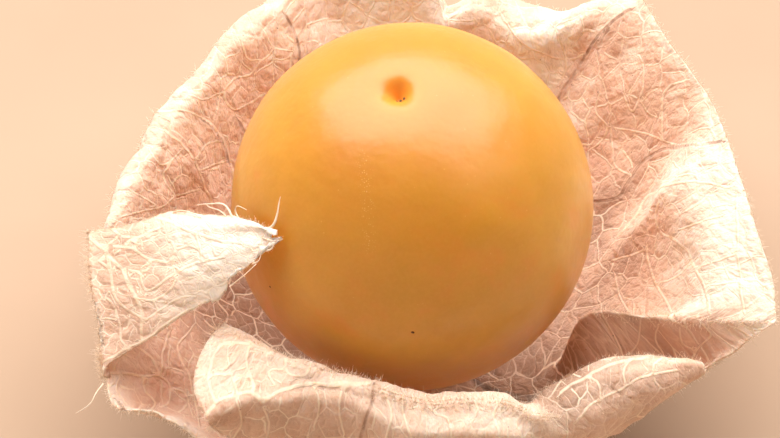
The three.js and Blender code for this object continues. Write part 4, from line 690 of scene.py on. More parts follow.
hairs_where(front_wall, np.exp(-((fw_rp - 9.2) / 0.45) ** 2) * (fw_cp < 6.2), int(560 * HN), 1, 0.28, 0.011, (1.0, 0.4, 0.3))
hairs_where(front_wall, np.exp(-((fw_rp - 8.0) / 0.4) ** 2) * (fw_cp > 5.8) * (fw_cp < 13), int(1200 * HN), 1, 0.28, 0.012, (1.0, 0.4, 0.3))
hairs_where(front_wall, np.exp(-((fw_cp) / 0.06) ** 2) * (fw_rp > 4), int(320 * HN), 1, 0.28, 0.011, (0.6, 0.2, -1.2))
hairs_where(front_wall, np.exp(-((fw_rp - fw_rp.max()) / 0.12) ** 2) * (fw_cp > 12), int(500 * HN), 0 * np.zeros(1), 0.24, 0.010, (0.6, 1.0, 0.4))
hairs_where(front_wall, (fw_rp > 3.5) * 1.0, int(1300 * HN), 1, 0.22, 0.010, (1.0, 0.4, 0.3))
hairs_where(open_wall, (ow_rp > 3.5) * (ow_rp < 6.0) * 1.0, int(1200 * HN), OUT, 0.22, 0.010, (1.0, 0.4, 0.3))
lf_t = np.linspace(0, 1, left_flap["g"].shape[1])[None, :] + 0 * left_flap["g"][..., 0]
lf_s = left_flap["cp"][:, None] + 0 * lf_t
hairs_where(left_flap, np.exp(-((lf_s - 0.95) / 0.30) ** 2), int(760 * HN), -1, 0.36, 0.012, (1.0, 0.0, -1.0))
hairs_where(left_flap, np.exp(-((lf_t - 1) / 0.02) ** 2) + np.exp(-(lf_t / 0.02) ** 2), int(700 * HN), -1, 0.20, 0.010, (1.0, 0.2, 0.3))
hairs_where(left_flap, 1.0 + 0 * lf_t, int(420 * HN), -1, 0.16, 0.009, (1.0, 0.2, 0.3))


def W(px, py, w):
    """a point on the line of sight, w mm nearer than the berry's middle"""
    D0 = (0 - CAM[1]) * CE - (BERRY_Z - CAM[2]) * SE
    d = D0 - w
    a = (px * 19 + 412 - 390) / 3800.0; b = (219 - (207 - py * 19)) / 3800.0
    return CAM + d * np.array([a, CE + b * SE, -SE + b * CE])


def flap_w(x, v):
    return -0.2 + 17.1 * .757 - 1.3 * .288 + .757 * x - .288 * v


def thread(pts, r0, r1, off=0.1, taper=1.0):
    """a torn fibre through drafting points (x, v, extra height)"""
    global hair_base
    P = np.array([W(x, v, flap_w(x, v) + e) for x, v, e in pts])
    fine = smooth_line(P[:, None], [6] * (len(P) - 1))[:, 0]
    t = np.linspace(0, 1, len(fine))
    r = r0 + (r1 - r0) * t ** taper
    V, T = tubes(fine[None], r[None], 5)
    HV.append(V); HT.append(T + hair_base); hair_base += len(V)


# fibres torn loose at the end of the folded flap
thread([(-9.35, -0.9, .1), (-9.5, -0.45, .25), (-9.85, 0.1, .45), (-10.65, 0.16, .55), (-11.3, 0.12, .6)], .075, .018)
thread([(-9.6, -0.7, .1), (-10.1, -0.2, .3), (-10.7, 0.02, .5), (-10.9, 0.2, .7)], .05, .015)
thread([(-9.0, -0.85, .05), (-9.3, -0.1, .3), (-9.2, 0.05, .5), (-8.7, -0.15, .4)], .045, .015)
thread([(-7.75, -1.3, .0), (-7.3, -0.95, .2), (-7.1, -0.4, .3), (-7.0, 0.2, .45), (-6.93, 0.55, .6)], .085, .010, taper=1.3)
thread([(-7.9, -1.6, .0), (-7.5, -1.75, .2), (-7.15, -1.8, .35)], .05, .012)
thread([(-7.7, -2.3, .0), (-7.4, -2.2, .2), (-7.2, -1.9, .3)], .06, .012)
thread([(-8.4, -3.0, .0), (-8.05, -2.8, .25), (-7.95, -2.5, .3)], .05, .012)
thread([(-9.6, -4.2, .0), (-8.9, -3.65, .2), (-8.2, -3.0, .25)], .035, .02)
thread([(-12.9, -0.5, .0), (-12.3, -0.2, .25), (-11.5, -0.35, .35), (-10.7, -0.8, .2)], .045, .03)
# a long loose thread at the lower left corner
P = np.array([W(-16.25, -9.3, 2.9), W(-16.6, -9.75, 3.2), W(-16.9, -10.3, 3.3), W(-17.4, -10.7, 3.2), W(-17.7, -10.85, 3.0)])
fine = smooth_line(P[:, None], [6] * 4)[:, 0]
V, T = tubes(fine[None], np.linspace(.045, .014, len(fine))[None], 5)
HV.append(V); HT.append(T + hair_base); hair_base += len(V)

hairs = mesh_object("husk_hairs", np.concatenate(HV), np.concatenate(HT))
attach(hairs, "root"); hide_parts("husk")

# ------------------------------------------------------------------ berry
NU, NV = ((256, 170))
a = np.concatenate([np.linspace(0, 0.16, 34)[:-1], np.linspace(0.16, math.pi, NV - 33)])
ph = np.arange(NU) / NU * 2 * math.pi
aa, pp = np.meshgrid(a, ph, indexing="ij")
r = 9.5 * np.sin(aa)
z = 10.0 * np.cos(aa)
# blossom end: a shallow dish with a small funnel, a little off round
rr = r * (1 + 0.10 * np.cos(pp - 1.1) + 0.05 * np.cos(3 * pp))
top = (aa < 0.6)
z = z - top * (0.16 * np.exp(-(rr / 1.7) ** 2) + 0.95 * np.exp(-(np.abs(rr) / 0.56) ** 1.6))
# stalk end, hidden: a flat navel
z = z + (aa > 2.5) * 0.35 * np.exp(-(r / 1.8) ** 2)
P = np.stack([r * np.cos(pp), r * np.sin(pp), z], -1)
lump = 0.07 * noise3(P * 0.16 + 3.1, 71) + 0.03 * noise3(P * 0.45, 72)
P = P * (1 + (lump * smoothstep(0.05, 0.4, aa) / 9.6)[..., None])
ct, st = math.cos(-_tilt), math.sin(-_tilt)
R = np.array([[ct, 0, st], [0, 1, 0], [-st, 0, ct]])
c3, s3 = math.cos(math.radians(3.4)), math.sin(math.radians(3.4))
R = np.array([[1, 0, 0], [0, c3, -s3], [0, s3, c3]]) @ R
P = P @ R.T + np.array([0, 0, BERRY_Z])
V = np.concatenate([P[1:-1].reshape(-1, 3), P[0, :1], P[-1, :1]])
m = len(a) - 2
idx = np.arange(m * NU).reshape(m, NU)
nx = np.roll(idx, -1, 1)
Q = np.stack([idx[:-1], idx[1:], nx[1:], nx[:-1]], -1).reshape(-1, 4)
capT = np.stack([np.full(NU, m * NU), idx[0], nx[0]], -1)
capB = np.stack([np.full(NU, m * NU + 1), nx[-1], idx[-1]], -1)
T = np.concatenate([Q[:, [0, 1, 2]], Q[:, [0, 2, 3]], capT, capB])
berry = mesh_object("physalis_berry", V, T)
xv = seen(V)
fl = np.exp(-((xv[:, 0] + 2.35 + 0.06 * xv[:, 1]) / 0.32) ** 2) * smoothstep(-3.2, -1.5, xv[:, 1]) * (1 - smoothstep(2.2, 3.4, xv[:, 1]))
fl = fl * (V[:, 1] < 0)
pole = np.linalg.norm(V - (np.array([0, 0, 9.3]) @ R.T + np.array([0, 0, BERRY_Z])), axis=-1)
# marks: pale flecks; the funnel, painted a lighter orange as a glow inside it; the top cap, painted a deeper orange as
# shade under the strong top light
at = berry.data.attributes.new("marks", "FLOAT_VECTOR", "POINT")
at.data.foreach_set("vector", np.stack([fl, np.exp(-(pole / 1.10) ** 2), np.exp(-(pole / 6.5) ** 2)], -1).astype(np.float32).ravel())
front = smoothstep(0.0, 3.0, -V[:, 1])
# painted highlight: a soft peach patch on the upper right of the berry's front
peach_painted_highlight = np.exp(-((xv[:, 0] - 3.5) / 2.1) ** 2 - ((xv[:, 1] - 2.3) / 1.5) ** 2) * front
# two soft patches on the lower front, at the low right and at the bottom, made more yellow
lower_yellow_patches = (0.7 * np.exp(-((xv[:, 0] - 5.6) / 2.0) ** 2 - ((xv[:, 1] + 5.6) / 1.8) ** 2) + np.exp(-((xv[:, 0] - 0.2) / 4.5) ** 2 - ((xv[:, 1] + 8.6) / 1.1) ** 2)) * front
at = berry.data.attributes.new("tints", "FLOAT_VECTOR", "POINT")
at.data.foreach_set("vector", np.stack([peach_painted_highlight, lower_yellow_patches, 0 * lower_yellow_patches], -1).astype(np.float32).ravel())
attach(berry, "root"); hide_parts("berry")


def on_berry(x, v):
    """point and outward direction on the berry's skin, seen at drafting (x, v)"""
    p0 = W(x, v, 30.0); p1 = W(x, v, 0.0)
    d = (p1 - p0) / np.linalg.norm(p1 - p0)
    c = np.array([0, 0, BERRY_Z])
    s = np.array([1 / 9.5, 1 / 9.5, 1 / 10.0])
    o = (p0 - c) * s; e = d * s
    A_, B_, C_ = e @ e, 2 * o @ e, o @ o - 1
    t = (-B_ - math.sqrt(max(B_ * B_ - 4 * A_ * C_, 0))) / (2 * A_)
    p = p0 + t * d
    n = (p - c) * s * s
    return p, n / np.linalg.norm(n)


bits_V, bits_T, nb = [], [], 0


def blob(p, n, size, flat, seed):
    """a small irregular crumb lying on the skin"""
    global nb
    g = np.random.default_rng(seed)
    u = np.cross(n, [0.3, 0.2, 1.0]); u /= np.linalg.norm(u); w = np.cross(n, u)
    th, fi = np.meshgrid(np.linspace(0, math.pi, 8), np.arange(12) / 12 * 2 * math.pi, indexing="ij")
    S = np.stack([np.sin(th) * np.cos(fi), np.sin(th) * np.sin(fi), np.cos(th)], -1)
    S = S * (1 + 0.28 * noise3(S * 1.7 + seed, seed))[..., None]
    Q = p + size * (S[..., 0:1] * u * 1.2 + S[..., 1:2] * w * 0.8 + S[..., 2:3] * n * flat)
    idx = np.arange(96).reshape(8, 12) ; nx = np.roll(idx, -1, 1)
    V = Q.reshape(-1, 3)
    V = np.concatenate([V[12:-12], V[:12].mean(0)[None], V[-12:].mean(0)[None]])
    idx = np.arange(72).reshape(6, 12); nx = np.roll(idx, -1, 1)
    T = [np.stack([idx[:-1], idx[1:], nx[1:]], -1).reshape(-1, 3), np.stack([idx[:-1], nx[1:], nx[:-1]], -1).reshape(-1, 3),
         np.stack([np.full(12, 72), idx[0], nx[0]], -1), np.stack([np.full(12, 73), nx[-1], idx[-1]], -1)]
    bits_V.append(V); bits_T.append(np.concatenate(T) + nb); nb += len(V)


for i, (x, v, s, f) in enumerate([(.03, -6.6, .075, .45), (-7.47, -4.2, .055, .4)]):
    p, n = on_berry(x, v)
    blob(p, n, s, f, 50 + i)
axis = np.array([0, 0, 1.0]) @ R.T
tip = np.array([0, 0, 10.0]) @ R.T + np.array([0, 0, BERRY_Z])
for i, (dx, dy, dz, s) in enumerate([(-.10, -.30, -.72, .11), (.12, -.34, -.60, .10), (.32, -.24, -.50, .09), (.02, .05, -1.18, .16), (.24, -.02, -.92, .09), (-.2, -.12, -.98, .09)]):
    blob(tip + np.array([dx, dy, 0]) + axis * (dz - .22), axis, s, .8, 60 + i)
bits = mesh_object("blossom_scar", np.concatenate(bits_V), np.concatenate(bits_T))
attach(bits, "root"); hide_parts("berry")

# ------------------------------------------------------------------ stalk
path = np.array([[0.0, 0.35, 0.72], [0.12, 2.0, 0.60], [0.25, 4.6, 0.56], [0.55, 8.0, 0.57], [1.15, 11.2, 0.62], [2.1, 14.0, 0.72], [3.3, 16.35, 0.86]])
fine = smooth_line(path[:, None], [14] * 6)[:, 0]
tt = np.linspace(0, 1, len(fine))
SID = 36
t = np.gradient(fine, axis=0); t /= np.linalg.norm(t, axis=-1, keepdims=True)
up = np.array([0, 0, 1.0]); u = np.cross(t, up); u /= np.linalg.norm(u, axis=-1, keepdims=True); w = np.cross(u, t)
ang = np.arange(SID) / SID * 2 * math.pi
rad = 0.50 + 0.30 * np.exp(-(tt / 0.05) ** 2) + 0.12 * np.exp(-((1 - tt) / 0.045) ** 2) + 0.02 * np.sin(tt * 40)
rib = 1 + 0.07 * np.cos(5 * ang[None] + 2.0 * tt[:, None]) + 0.02 * np.cos(13 * ang[None] + 5 * tt[:, None])
SP = fine[:, None] + (rad[:, None] * rib)[..., None] * (np.cos(ang)[None, :, None] * u[:, None] + np.sin(ang)[None, :, None] * w[:, None])
SP = SP + 0.03 * noise3(SP * 2.2, 5)[..., None] * w[:, None]
SP[..., 2] = np.maximum(SP[..., 2], 0.012)
# rounded ends
ends0 = [fine[0] - t[0] * d for d in (0.16, 0.26)]
ring0 = [ends0[0] + (SP[0] - fine[0]) * 0.8, ends0[1] + (SP[0] - fine[0]) * 0.4]
ring1 = [fine[-1] + t[-1] * 0.06 + (SP[-1] - fine[-1]) * 0.86, fine[-1] + t[-1] * 0.02 + (SP[-1] - fine[-1]) * 0.5]
RR = np.concatenate([[ring0[1]], [ring0[0]], SP, [ring1[0]], [ring1[1]]])
k = len(RR)
V = np.concatenate([RR.reshape(-1, 3), [ends0[1] - t[0] * 0.02], [fine[-1] - t[-1] * 0.05]])
idx = np.arange(k * SID).reshape(k, SID); nx = np.roll(idx, -1, 1)
T = np.concatenate([np.stack([idx[:-1], idx[1:], nx[1:]], -1).reshape(-1, 3), np.stack([idx[:-1], nx[1:], nx[:-1]], -1).reshape(-1, 3),
                    np.stack([np.full(SID, k * SID), idx[0], nx[0]], -1), np.stack([np.full(SID, k * SID + 1), nx[-1], idx[-1]], -1)])
stalk = mesh_object("physalis_stalk", V, T)
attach(stalk, "root"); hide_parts("stalk")


# every closed mesh faces outwards
def face_out(ob):
    import bmesh
    bm = bmesh.new(); bm.from_mesh(ob.data)
    bmesh.ops.recalc_face_normals(bm, faces=bm.faces)
    bm.to_mesh(ob.data); bm.free()


for ob in (husk, hairs, berry, bits, stalk):
    face_out(ob)


# ------------------------------------------------------------------ materials
def srgb(r, g, b, a=1.0):
    f = lambda c: ((c / 255.0 + 0.055) / 1.055) ** 2.4 if c > 10.3 else c / 255.0 / 12.92
    return (f(r), f(g), f(b), a)


class Nodes:
    def __init__(self, name):
        self.mat = bpy.data.materials.new(name)
        self.mat.use_nodes = True
        self.t = self.mat.node_tree
        self.bsdf = self.t.nodes["Principled BSDF"]

    def put(self, s, v):
        if isinstance(v, bpy.types.NodeSocket):
            self.t.links.new(v, s)
        elif v is not None:
            s.default_value = v

    def math(self, op, a, b=None, c=None, clamp=False):
        n = self.t.nodes.new("ShaderNodeMath"); n.operation = op; n.use_clamp = clamp
        for i, v in enumerate((a, b, c)):
            if v is not None:
                self.put(n.inputs[i], v)
        return n.outputs[0]

    def ramp(self, v, a, b, lo=0.0, hi=1.0, smooth=True):
        n = self.t.nodes.new("ShaderNodeMapRange")
        n.interpolation_type = "SMOOTHSTEP" if smooth else "LINEAR"
        n.clamp = True
        self.put(n.inputs["Value"], v)
        self.put(n.inputs["From Min"], a); self.put(n.inputs["From Max"], b)
        self.put(n.inputs["To Min"], lo); self.put(n.inputs["To Max"], hi)
        return n.outputs["Result"]

    def mix(self, f, a, b, mode="MIX"):
        n = self.t.nodes.new("ShaderNodeMix"); n.data_type = "RGBA"; n.blend_type = mode
        n.clamp_factor = True
        self.put(n.inputs["Factor"], f)
        self.put(n.inputs[6], a); self.put(n.inputs[7], b)
        return n.outputs[2]

    def attr(self, name):
        n = self.t.nodes.new("ShaderNodeAttribute"); n.attribute_name = name; n.attribute_type = "GEOMETRY"
        s = self.t.nodes.new("ShaderNodeSeparateXYZ"); self.t.links.new(n.outputs["Vector"], s.inputs[0])
        return n.outputs["Vector"], s.outputs[0], s.outputs[1], s.outputs[2]

    def coord(self):
        return self.t.nodes.new("ShaderNodeTexCoord").outputs["Object"]

    def scaled(self, v, k):
        n = self.t.nodes.new("ShaderNodeVectorMath"); n.operation = "MULTIPLY"
        self.put(n.inputs[0], v)
        n.inputs[1].default_value = k if hasattr(k, "__len__") else (k, k, k)
        return n.outputs[0]

    def noise(self, v, scale, detail=3.0, rough=0.5, distortion=0.0):
        n = self.t.nodes.new("ShaderNodeTexNoise")
        self.put(n.inputs["Vector"], v)
        n.inputs["Scale"].default_value = scale; n.inputs["Detail"].default_value = detail
        n.inputs["Roughness"].default_value = rough; n.inputs["Distortion"].default_value = distortion
        return n.outputs["Fac"]

    def warp(self, v, scale, amount):
        n = self.t.nodes.new("ShaderNodeTexNoise")
        self.put(n.inputs["Vector"], v)
        n.inputs["Scale"].default_value = scale; n.inputs["Detail"].default_value = 2.0
        a = self.t.nodes.new("ShaderNodeVectorMath"); a.operation = "SUBTRACT"
        self.t.links.new(n.outputs["Color"], a.inputs[0]); a.inputs[1].default_value = (0.5, 0.5, 0.5)
        b = self.t.nodes.new("ShaderNodeVectorMath"); b.operation = "MULTIPLY_ADD"
        self.t.links.new(a.outputs[0], b.inputs[0]); b.inputs[1].default_value = (amount * 2, amount * 2, 0.0)
        self.put(b.inputs[2], v)
        return b.outputs[0]

    def voronoi(self, v, scale, feature="F1", rand=1.0, dims="3D"):
        n = self.t.nodes.new("ShaderNodeTexVoronoi")
        n.voronoi_dimensions = dims; n.feature = feature
        self.put(n.inputs["Vector"], v)
        n.inputs["Scale"].default_value = scale; n.inputs["Randomness"].default_value = rand
        return n

    def bump(self, h, strength=1.0, distance=0.001, normal=None):
        n = self.t.nodes.new("ShaderNodeBump")
        n.inputs["Strength"].default_value = strength; n.inputs["Distance"].default_value = distance
        self.put(n.inputs["Height"], h)
        if normal is not None:
            self.put(n.inputs["Normal"], normal)
        return n.outputs["Normal"]

    def set(self, **kw):
        for k, v in kw.items():
            self.put(self.bsdf.inputs[k.replace("_", " ")], v)


def husk_material():
    M = Nodes("husk_paper")
    obj = M.scaled(M.coord(), 1000.0)                     # mm
    _, s1, d1, pair1 = M.attr("net1")
    _, s2, d2, pair2 = M.attr("net2")
    _, sd, dd, tone = M.attr("draw")
    sv, qx, qy, bleach_and_painted_shading = M.attr("sheet")
    edge1 = M.voronoi(M.warp(sv, 0.55, 0.45), 0.66, "DISTANCE_TO_EDGE", 0.9, "2D").outputs["Distance"]
    fade1 = M.ramp(M.noise(sv, 0.30, 2.0), 0.34, 0.60, 0.35, 1.0)
    v1 = M.math("MULTIPLY", M.ramp(edge1, 0.012, 0.052, 1.0, 0.0), M.math("MULTIPLY", fade1, M.ramp(pair1, 0.05, 0.45)))
    wv = M.warp(sv, 0.8, 0.50)
    edge2 = M.voronoi(wv, 1.35, "DISTANCE_TO_EDGE", 0.85, "2D").outputs["Distance"]
    fade2 = M.ramp(M.noise(sv, 0.45, 2.0), 0.36, 0.62, 0.30, 1.0)
    v2 = M.math("MULTIPLY", M.ramp(edge2, 0.012, 0.085, 1.0, 0.0), M.math("MAXIMUM", M.math("MULTIPLY", fade2, pair2), M.ramp(pair2, 0.6, 0.9, 0.0, 0.95)))
    dr = M.math("MULTIPLY", M.ramp(M.math("ABSOLUTE", sd), 0.30, 1.15, 1.0, 0.0), M.ramp(dd, 2.4, 3.2, 1.0, 0.0))
    pale = M.math("MULTIPLY", dr, M.ramp(tone, 0.2, 0.6))
    dark = M.math("MULTIPLY", dr, M.ramp(tone, -0.6, -0.2, 1.0, 0.0))
    fine = M.voronoi(M.warp(sv, 2.0, 0.18), 3.4, "DISTANCE_TO_EDGE", 1.0, "2D").outputs["Distance"]
    v3 = M.ramp(fine, 0.03, 0.14, 1.0, 0.0)
    big = M.noise(obj, 0.16, 3.0, 0.55)
    mid = M.noise(obj, 0.75, 4.0, 0.6)
    tiny = M.noise(obj, 9.0, 3.0, 0.6)
    tissue = M.mix(M.ramp(big, 0.38, 0.64), srgb(219, 182, 157), srgb(231, 201, 178))
    tissue = M.mix(M.ramp(mid, 0.30, 0.70, 0.0, 0.45), tissue, srgb(212, 170, 142))
    tissue = M.mix(M.ramp(tiny, 0.35, 0.75, 0.0, 0.25), tissue, srgb(248, 224, 200))
    # bleached tissue and painted light tend to near-white; painted shade tends to brown
    tissue = M.mix(M.math("MULTIPLY", bleach_and_painted_shading, 0.78, clamp=True), tissue, srgb(250, 238, 224))
    tissue = M.mix(M.math("MULTIPLY", bleach_and_painted_shading, -0.8, clamp=True), tissue, srgb(150, 114, 88))
    cream = srgb(248, 225, 202)
    col = M.mix(M.math("MULTIPLY", v3, 0.07), tissue, cream)
    col = M.mix(M.math("MULTIPLY", v2, 0.80), col, cream)
    col = M.mix(M.math("MULTIPLY", v1, 0.90), col, cream)
    col = M.mix(M.math("MULTIPLY", pale, 0.80), col, srgb(248, 224, 198))
    # dark ribs and creases: partly the ribs' own brown, partly painted crease shade
    patchy = M.ramp(M.noise(obj, 1.1, 3.0), 0.38, 0.62, 0.12, 0.65)
    col = M.mix(M.math("MULTIPLY", dark, patchy), col, srgb(140, 100, 72))
    # sparse dark specks
    spk = M.voronoi(obj, 2.2, "F1", 1.0)
    pick = M.t.nodes.new("ShaderNodeSeparateColor"); M.t.links.new(spk.outputs["Color"], pick.inputs[0])
    dot = M.math("MULTIPLY", M.ramp(spk.outputs["Distance"], 0.05, 0.13, 1.0, 0.0), M.ramp(pick.outputs[0], 0.80, 0.86))
    col = M.mix(M.math("MULTIPLY", dot, 0.60), col, srgb(110, 78, 54))
    stain = M.math("MULTIPLY", M.ramp(M.noise(obj, 0.33, 2.0, 0.5), 0.64, 0.76), M.ramp(M.noise(obj, 4.5, 4.0, 0.7), 0.50, 0.66))
    col = M.mix(M.math("MULTIPLY", stain, 0.22), col, srgb(150, 112, 84))
    dome = M.ramp(edge2, 0.0, 0.36)
    domef = M.ramp(fine, 0.0, 0.30)
    h = M.math("MULTIPLY", pale, 0.030)
    h = M.math("MULTIPLY_ADD", v1, 0.030, h)
    h = M.math("MULTIPLY_ADD", v2, 0.018, h)
    h = M.math("MULTIPLY_ADD", M.ramp(edge1, 0.0, 0.26), 0.048, h)
    h = M.math("MULTIPLY_ADD", dome, 0.034, h)
    h = M.math("MULTIPLY_ADD", domef, 0.010, h)
    h = M.math("MULTIPLY_ADD", dark, -0.05, h)
    h = M.math("MULTIPLY_ADD", M.noise(obj, 2.0, 2.0, 0.5), 0.055, h)
    h = M.math("MULTIPLY_ADD", tiny, 0.014, h)
    M.set(Base_Color=col, Roughness=M.ramp(mid, 0.3, 0.7, 0.55, 0.75), Normal=M.bump(h, 1.0, 0.001))
    M.bsdf.inputs["Subsurface Weight"].default_value = 0.55
    M.bsdf.inputs["Subsurface Radius"].default_value = (1.0, 0.70, 0.50)
    M.bsdf.inputs["Subsurface Scale"].default_value = 0.00026
    M.bsdf.inputs["Specular IOR Level"].default_value = 0.35
    M.bsdf.inputs["Sheen Weight"].default_value = 0.10
    M.bsdf.inputs["Sheen Roughness"].default_value = 0.6
    return M.mat


def hair_material():
    M = Nodes("husk_hair")
    obj = M.scaled(M.coord(), 1000.0)
    col = M.mix(M.ramp(M.noise(obj, 1.2, 2.0), 0.35, 0.65), srgb(255, 238, 216), srgb(246, 220, 190))
    M.set(Base_Color=col, Roughness=0.55)
    M.bsdf.inputs["Specular IOR Level"].default_value = 0.4
    return M.mat


def berry_material():
    M = Nodes("berry_skin")
    obj = M.scaled(M.coord(), 1000.0)
    _, fleck, pit, dish = M.attr("marks")
    n1 = M.noise(obj, 0.14, 2.0, 0.5)
    n2 = M.noise(obj, 0.42, 3.0, 0.55)
    n3 = M.noise(obj, 5.5, 3.0, 0.6)
    col = M.mix(M.ramp(n1, 0.36, 0.64), srgb(211, 145, 46), srgb(219, 160, 55))
    col = M.mix(M.ramp(n2, 0.40, 0.66, 0.0, 0.55), col, srgb(204, 146, 40))
    col = M.mix(M.ramp(n2, 0.30, 0.46, 0.40, 0.0), col, srgb(226, 141, 54))
    col = M.mix(M.ramp(n3, 0.30, 0.75, 0.0, 0.22), col, srgb(226, 166, 74))
    _, peach_painted_highlight, lower_yellow_patches, _none = M.attr("tints")
    # painted highlight: the soft peach patch
    col = M.mix(M.math("MULTIPLY", peach_painted_highlight, 0.55), col, srgb(236, 174, 98))
    # the two lower patches, more yellow
    col = M.mix(M.math("MULTIPLY", lower_yellow_patches, 0.50), col, srgb(216, 168, 78))
    # painted shade: the top cap, where the top light falls strongest, is a deeper orange
    col = M.mix(M.math("MULTIPLY", dish, 0.85), col, srgb(206, 131, 48))
    # painted light: the funnel of the blossom end is a brighter orange, a glow painted into the hollow
    col = M.mix(M.math("MULTIPLY", pit, 0.72), col, srgb(240, 160, 56))
    dots = M.voronoi(obj, 9.0, "F1", 1.0)
    pick = M.t.nodes.new("ShaderNodeSeparateColor"); M.t.links.new(dots.outputs["Color"], pick.inputs[0])
    fl = M.math("MULTIPLY", M.ramp(dots.outputs["Distance"], 0.14, 0.34, 1.0, 0.0), M.ramp(pick.outputs[0], 0.12, 0.50))
    fl = M.math("MULTIPLY", fl, fleck)
    col = M.mix(M.math("MULTIPLY", fl, 0.50), col, srgb(250, 212, 136))
    pores = M.voronoi(obj, 2.4, "F1", 1.0)
    pk = M.t.nodes.new("ShaderNodeSeparateColor"); M.t.links.new(pores.outputs["Color"], pk.inputs[0])
    pr = M.math("MULTIPLY", M.ramp(pores.outputs["Distance"], 0.04, 0.14, 1.0, 0.0), M.ramp(pk.outputs[1], 0.80, 0.86))
    col = M.mix(M.math("MULTIPLY", pr, 0.30), col, srgb(246, 200, 120))
    h = M.math("MULTIPLY", n2, 0.10)
    h = M.math("MULTIPLY_ADD", n3, 0.004, h)
    h = M.math("MULTIPLY_ADD", fl, 0.006, h)
    M.set(Base_Color=col, Roughness=M.ramp(n3, 0.3, 0.7, 0.33, 0.40), Normal=M.bump(h, 1.0, 0.001))
    M.bsdf.inputs["Subsurface Weight"].default_value = 0.45
    M.bsdf.inputs["Subsurface Radius"].default_value = (1.0, 0.42, 0.10)
    M.bsdf.inputs["Subsurface Scale"].default_value = 0.0016
    M.bsdf.inputs["Specular IOR Level"].default_value = 0.5
    M.bsdf.inputs["Coat Weight"].default_value = 0.20
    M.bsdf.inputs["Coat Roughness"].default_value = 0.28
    return M.mat


def scar_material():
    M = Nodes("scar")
    obj = M.scaled(M.coord(), 1000.0)
    col = M.mix(M.ramp(M.noise(obj, 6.0, 3.0), 0.35, 0.65), srgb(58, 34, 18), srgb(112, 66, 28))
    M.set(Base_Color=col, Roughness=0.7, Normal=M.bump(M.noise(obj, 14.0, 3.0), 1.0, 0.00005))
    return M.mat


def stalk_material():
    M = Nodes("stalk_bark")
    obj = M.scaled(M.coord(), 1000.0)
    st = M.noise(M.scaled(obj, (3.2, 0.35, 3.2)), 1.0, 4.0, 0.6)
    col = M.mix(M.ramp(st, 0.36, 0.62), srgb(170, 138, 88), srgb(206, 178, 128))
    col = M.mix(M.ramp(M.noise(obj, 0.5, 3.0), 0.5, 0.7, 0.0, 0.6), col, srgb(132, 98, 62))
    col = M.mix(M.ramp(M.noise(obj, 7.0, 2.0), 0.60, 0.70, 0.0, 0.5), col, srgb(96, 68, 42))
    h = M.math("MULTIPLY_ADD", M.noise(obj, 6.0, 3.0), 0.03, M.math("MULTIPLY", st, 0.10))
    M.set(Base_Color=col, Roughness=0.78, Normal=M.bump(h, 1.0, 0.001))
    return M.mat


for ob, mt in ((husk, husk_material()), (hairs, hair_material()), (berry, berry_material()), (bits, scar_material()), (stalk, stalk_material())):
    ob.data.materials.clear()
    ob.data.materials.append(mt)

# ------------------------------------------------------------------ floor, light
def disc(name, radius, z, n=96):
    rr = np.array([0.02, 0.06, 0.15, 0.4, 1.0, 2.0, radius]) * 1000
    an = np.arange(n) / n * 2 * math.pi
    V = np.concatenate([[[0, 0, z]]] + [np.stack([r * np.cos(an), r * np.sin(an), an * 0 + z], -1) for r in rr]) - OFF
    F = [[0, 1 + i, 1 + (i + 1) % n] for i in range(n)]
    for k in range(len(rr) - 1):
        a = 1 + k * n; b = 1 + (k + 1) * n
        for i in range(n):
            j = (i + 1) % n
            F.append([a + i, b + i, b + j]); F.append([a + i, b + j, a + j])
    return mesh_object(name, V, np.array(F), False)


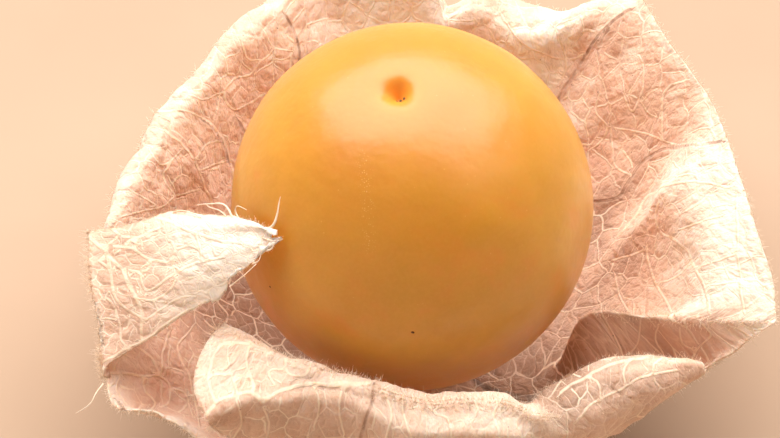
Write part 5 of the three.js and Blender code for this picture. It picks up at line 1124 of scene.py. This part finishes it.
floor = disc("floor", 6.0, -0.002)
F_ = Nodes("floor")
fo = F_.coord()
F_.set(Base_Color=F_.mix(F_.ramp(F_.noise(fo, 60.0, 3.0), 0.3, 0.7), srgb(180, 154, 130), srgb(184, 158, 134)), Roughness=0.85)
F_.bsdf.inputs["Specular IOR Level"].default_value = 0.2
flen = F_.t.nodes.new("ShaderNodeVectorMath"); flen.operation = "LENGTH"; F_.t.links.new(fo, flen.inputs[0])
F_.set(Emission_Color=F_.mix(F_.ramp(flen.outputs["Value"], 0.18, 0.95), (0, 0, 0, 1), (0.46, 0.35, 0.26, 1)))
F_.bsdf.inputs["Emission Strength"].default_value = 1.0
floor.data.materials.append(F_.mat)


def area(name, size, power, loc, target, color, sy=None):
    d = bpy.data.lights.new(name, "AREA")
    d.shape = "RECTANGLE"; d.size = size; d.size_y = sy or size; d.energy = power; d.color = color
    o = bpy.data.objects.new(name, d)
    bpy.context.scene.collection.objects.link(o)
    o.location = Vector(loc)
    o.rotation_euler = (Vector(target) - Vector(loc)).to_track_quat("-Z", "Y").to_euler()
    return o


area("key", 1.30, 16.8, (0.0, 0.285, 0.555), (0, 0, 0.01), (1.0, 0.945, 0.92), 0.80)
fill = area("fill", 0.60, 0.65, (-0.26, -0.34, 0.12), (-0.010, -0.006, 0.010), (1.0, 0.90, 0.83))
fill.visible_glossy = False
world = bpy.data.worlds.new("world")
bpy.context.scene.world = world
world.use_nodes = True
wt = world.node_tree
wc = wt.nodes.new("ShaderNodeTexCoord"); ws = wt.nodes.new("ShaderNodeSeparateXYZ"); wm = wt.nodes.new("ShaderNodeMapRange")
wt.links.new(wc.outputs["Generated"], ws.inputs[0]); wt.links.new(ws.outputs["Z"], wm.inputs["Value"])
wm.interpolation_type = "SMOOTHSTEP"
wm.inputs["From Min"].default_value = 0.06; wm.inputs["From Max"].default_value = 0.34
wm.inputs["To Min"].default_value = 0.62; wm.inputs["To Max"].default_value = 0.07
wt.links.new(wm.outputs["Result"], wt.nodes["Background"].inputs["Strength"])
wt.nodes["Background"].inputs["Color"].default_value = (1.0, 0.79, 0.61, 1.0)

sc = bpy.context.scene
sc.view_settings.view_transform = "Standard"
sc.view_settings.look = "None"
sc.view_settings.exposure = 0.0
sc.cycles.use_denoising = True
sc.cycles.max_bounces = 12
sc.cycles.diffuse_bounces = 6
